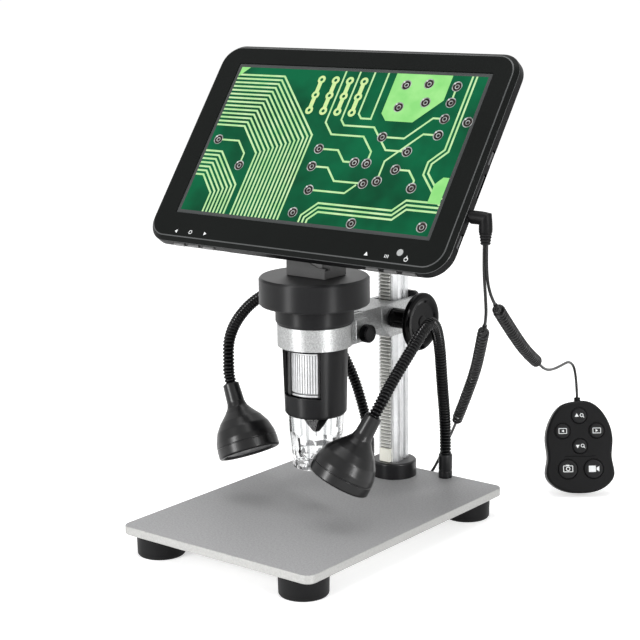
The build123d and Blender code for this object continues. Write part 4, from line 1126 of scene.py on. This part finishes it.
def plug():
    """Angled plug: barrel, elbow and stem in one moulding, then a ribbed boot, and a steel collar."""
    (x, y, z), r = PLUG_AT, PLUG_R
    turns = [2 * pi * k / 36 for k in range(36)]
    rings = [[(at, y + size * cos(a), z + size * sin(a)) for a in turns]
             for at, size in ((93.6, 2.7), (93.7, 3.0), (94.0, r), (96.0, r))]
    for k in range(9):
        angle = pi / 2 * k / 8
        square = 1 / max(cos(angle), sin(angle))
        reach = r * (1 + 0.72 * (square - 1))
        rings.append([(x - r + sin(angle) * reach * (1 + sin(a)), y + r * cos(a),
                       z - r + cos(angle) * reach * (1 + sin(a))) for a in turns])
    rings += [[(x + size * sin(a), y + size * cos(a), low) for a in turns]
              for low, size in ((152.6, r + 0.05), (151.0, r), (150.7, 2.9))]
    lofted("plug_elbow", rings, MOULDED, "monitor", stands_for=("plug_body",))
    profile = [(0, 150.9), (2.5, 150.9, 0.1)]
    for k in range(4):
        high, radius = 150.8 - 1.4 * k, 2.95 - 0.2 * k
        profile += [(radius - 0.35, high - 0.1, 0.1), (radius, high - 0.35, 0.15),
                    (radius, high - 1.0, 0.15), (radius - 0.35, high - 1.25, 0.1)]
    profile += [(1.9, 145.3, 0.2), (0, 145.2)]
    turned("plug_boot", profile, RUBBER, "monitor", Matrix.Translation((x, y, 0)), steps=40)
    turned("plug_collar", [(0, 88.6), (1.5, 88.6, 0.2), (1.8, 89.2), (1.8, 93.1), (2.6, 93.15, 0.1),
                           (2.6, 93.75), (0, 93.75)], STEEL, "monitor",
           Matrix.Translation((0, y, z)) @ Matrix.Rotation(pi / 2, 4, "Y"), steps=32)


# ---------------------------------------------------------------- lamps
def lamps():
    for side, route, ends in (("left", GOOSE_LEFT, LAMP_LEFT), ("right", GOOSE_RIGHT, LAMP_RIGHT)):
        lamp(side, route, along(*ends))


def lamp(side, route, place):
    """A shade on a neck of links, with a frosted plate of light set into its mouth."""
    shade = [(2.9, 0), (3.9, 0, 0.2), (4.2, 0.4, 0.2), (4.6, 10.0, 3), (5.3, 12.6, 3), (7.4, 15.4, 3),
             (10.9, 19.2, 4), (13.8, 23.6, 5), (15.5, 28.6, 5), (15.9, 31.4, 0.4), (15.7, 31.6, 0.1),
             (15.7, 31.9, 0.1), (16.0, 32.1, 0.2), (16.0, 36.5, 0.6), (15.4, 37.2, 0.4), (14.0, 37.2, 0.3),
             (13.6, 36.2, 0.3), (13.3, 34.2, 0.3), (13.3, 29.0), (11.4, 23.0), (5.2, 16.6), (2.9, 13.0)]
    plate = [(0, 36.15), (5.2, 36.2, 0.3), (5.8, 35.85, 0.2), (6.4, 36.2, 0.3), (11.8, 36.2, 0.3),
             (12.5, 35.7, 0.3), (13.2, 35.6, 0.2), (13.2, 29.4), (0, 29.4)]
    link = turned_part("neck_link", [(1.6, -1.0), (2.3, -0.95, 0.1), (3.1, -0.28, 0.5), (3.1, 0.28, 0.5),
                                     (2.3, 0.95, 0.1), (1.6, 1.0)], 16)
    body = f"lamp_{side}"
    turned(f"lamp_shade_{side}", shade, LAMP_SATIN, body, place, (f"lamp_head_{side}",), 96, closed=True)
    turned(f"lamp_lens_plate_{side}", plate, [FROST, FROST_RIM], body, place, (f"lamp_lens_{side}",), 72,
           tone_at=lambda a, b: 1 if 11.5 < a[0] < 12.6 and a[1] > 35 else 0)
    into = [tuple(place @ Vector((0, 0, z))) for z in (-4.0, 9.0)]
    repeated(f"neck_{side}", link, route_curve(route + into), LINKS_ALONG, LACQUER, body,
             stands_for=(f"gooseneck_{side}",), slot="gooseneck_black", crease=60, Pitch=LINK_PITCH * MM)


# ---------------------------------------------------------------- cords
def straight_cord(name, points, stands_for):
    """The plain lead that hangs from the plug to its sleeve."""
    data = route_mesh(points, CORD_R)
    data.materials.clear()
    data.materials.append(JACKET)
    merge(data, 80, recalc=False)
    obj = bpy.data.objects.new(name, data)
    SCENE.collection.objects.link(obj)
    declare_cord(obj, route_points(points), stands_for)


def curly_cord(name, coil, tail, radius, turns, stands_for):
    """The curly stretch and the plain tail behind it, as one tube on one route."""
    line = route_points(coil + tail[1:])
    junction = Vector(coil[-1])
    nearest = min(range(len(line)), key=lambda i: (line[i] - junction).length)
    points = helix(line[:nearest + 1], radius, turns)
    points += [p for p in line[nearest + 1:] if (p - points[-1]).length > 1.0]
    made = lofted(name, swept(points, CORD_R, 8), JACKET, None, crease=80)
    declare_cord(made, points, stands_for)


def cords():
    sleeve_outline = [(0, -2.6), (0.85, -2.6, 0.1), (1.1, -1.6, 0.2), (1.15, 1.0, 0.2), (0.9, 1.8, 0.2),
                      (0, 1.8)]
    for name, lead, coil, tail, radius, turns in (
            ("handset_cord", CORD_A_LEAD, COIL_A, CORD_A_TAIL, 2.45, 30),
            ("lamp_cord", CORD_B_LEAD, COIL_B, CORD_B_TAIL, 2.2, 32)):
        sleeve = turned(name + "_sleeve", sleeve_outline, MOULDED, "carriage", along(coil[0], coil[1]),
                        steps=24)
        straight_cord(name + "_straight", lead, (name + "_lead",))
        curly_cord(name + "_curly", coil, tail, radius, turns, (name + "_coil", name + "_tail"))


# ---------------------------------------------------------------- handset
def handset():
    for shell in ("handset_lower_shell", "handset_upper_shell"):
        eased(shell, MOULDED, "stand")
    repaint("handset_circuit_board", BOARD)
    lens = ring_band(1.3, 0.3, 1.0, 0.65) + [strip([(2.0, -0.4), (2.8, -1.2)], 0.4)]
    box = frame_lines(0, 0, 4.2, 2.7, 0.35)
    camera = frame_lines(0, 0.2, 5.0, 3.2, 0.4) + ring_band(0, 0.2, 1.2, 0.75)
    camera += [strip([(-1.2, 2.1), (0.6, 2.1)], 0.6)]
    film = [[(-2.7, -1.7), (1.1, -1.7), (1.1, 1.7), (-2.7, 1.7)],
            [(1.5, -0.5), (3.0, -1.5), (3.0, 1.5), (1.5, 0.5)]]
    for key, x, y, r, sign in (("up", 0.0, 17.0, 4.3, [triangle(-1.4, 0.1, 1.25)] + lens),
                               ("left", -9.3, 8.8, 4.2, box + [triangle(0.2, 0, 0.9, pi / 2)]),
                               ("right", 9.3, 8.8, 4.2, box + [triangle(-0.2, 0, 0.9, -pi / 2)]),
                               ("down", 0.0, 0.4, 4.1, [triangle(-1.4, 0.1, 1.25, pi)] + lens),
                               ("photo", -7.0, -12.0, 5.3, camera), ("video", 7.0, -12.0, 5.3, film)):
        profile = [(0, -2.6), (r + 0.7, -2.6), (r + 0.7, -1.7), (r, -1.7), (r, 0.2, 0.3),
                   (r - 0.35, 0.9, 0.4), (r - 1.2, 1.0, 0.6), (0, 0.9)]
        place = HANDSET @ Matrix.Translation((x, y, 0))
        body = f"handset_key_{key}"
        turned(body + "_cap", profile, RUBBER, body, place, (f"handset_button_{key}",), 48)
        prints(body + "_sign", sign, 0.88, 0.99, INK, body, place)


# ---------------------------------------------------------------- the whole microscope
AIM = (0, 0, 0.09)
set_camera()
set_world()
softbox("key_light", (-0.29, -1.035, 0.35), AIM, (0.15, 0.62), 9)
softbox("side_light", (1.065, -0.24, 0.35), AIM, (0.13, 0.62), 7.5)
softbox("top_light", (0.0, 0.1, 1.2), (0, 0, 0.05), (0.9, 0.9), 8.5)
set_floor()
plug()
cords()
base()
column()
carriage()
scope()
hinge()
monitor()
lamps()
handset()
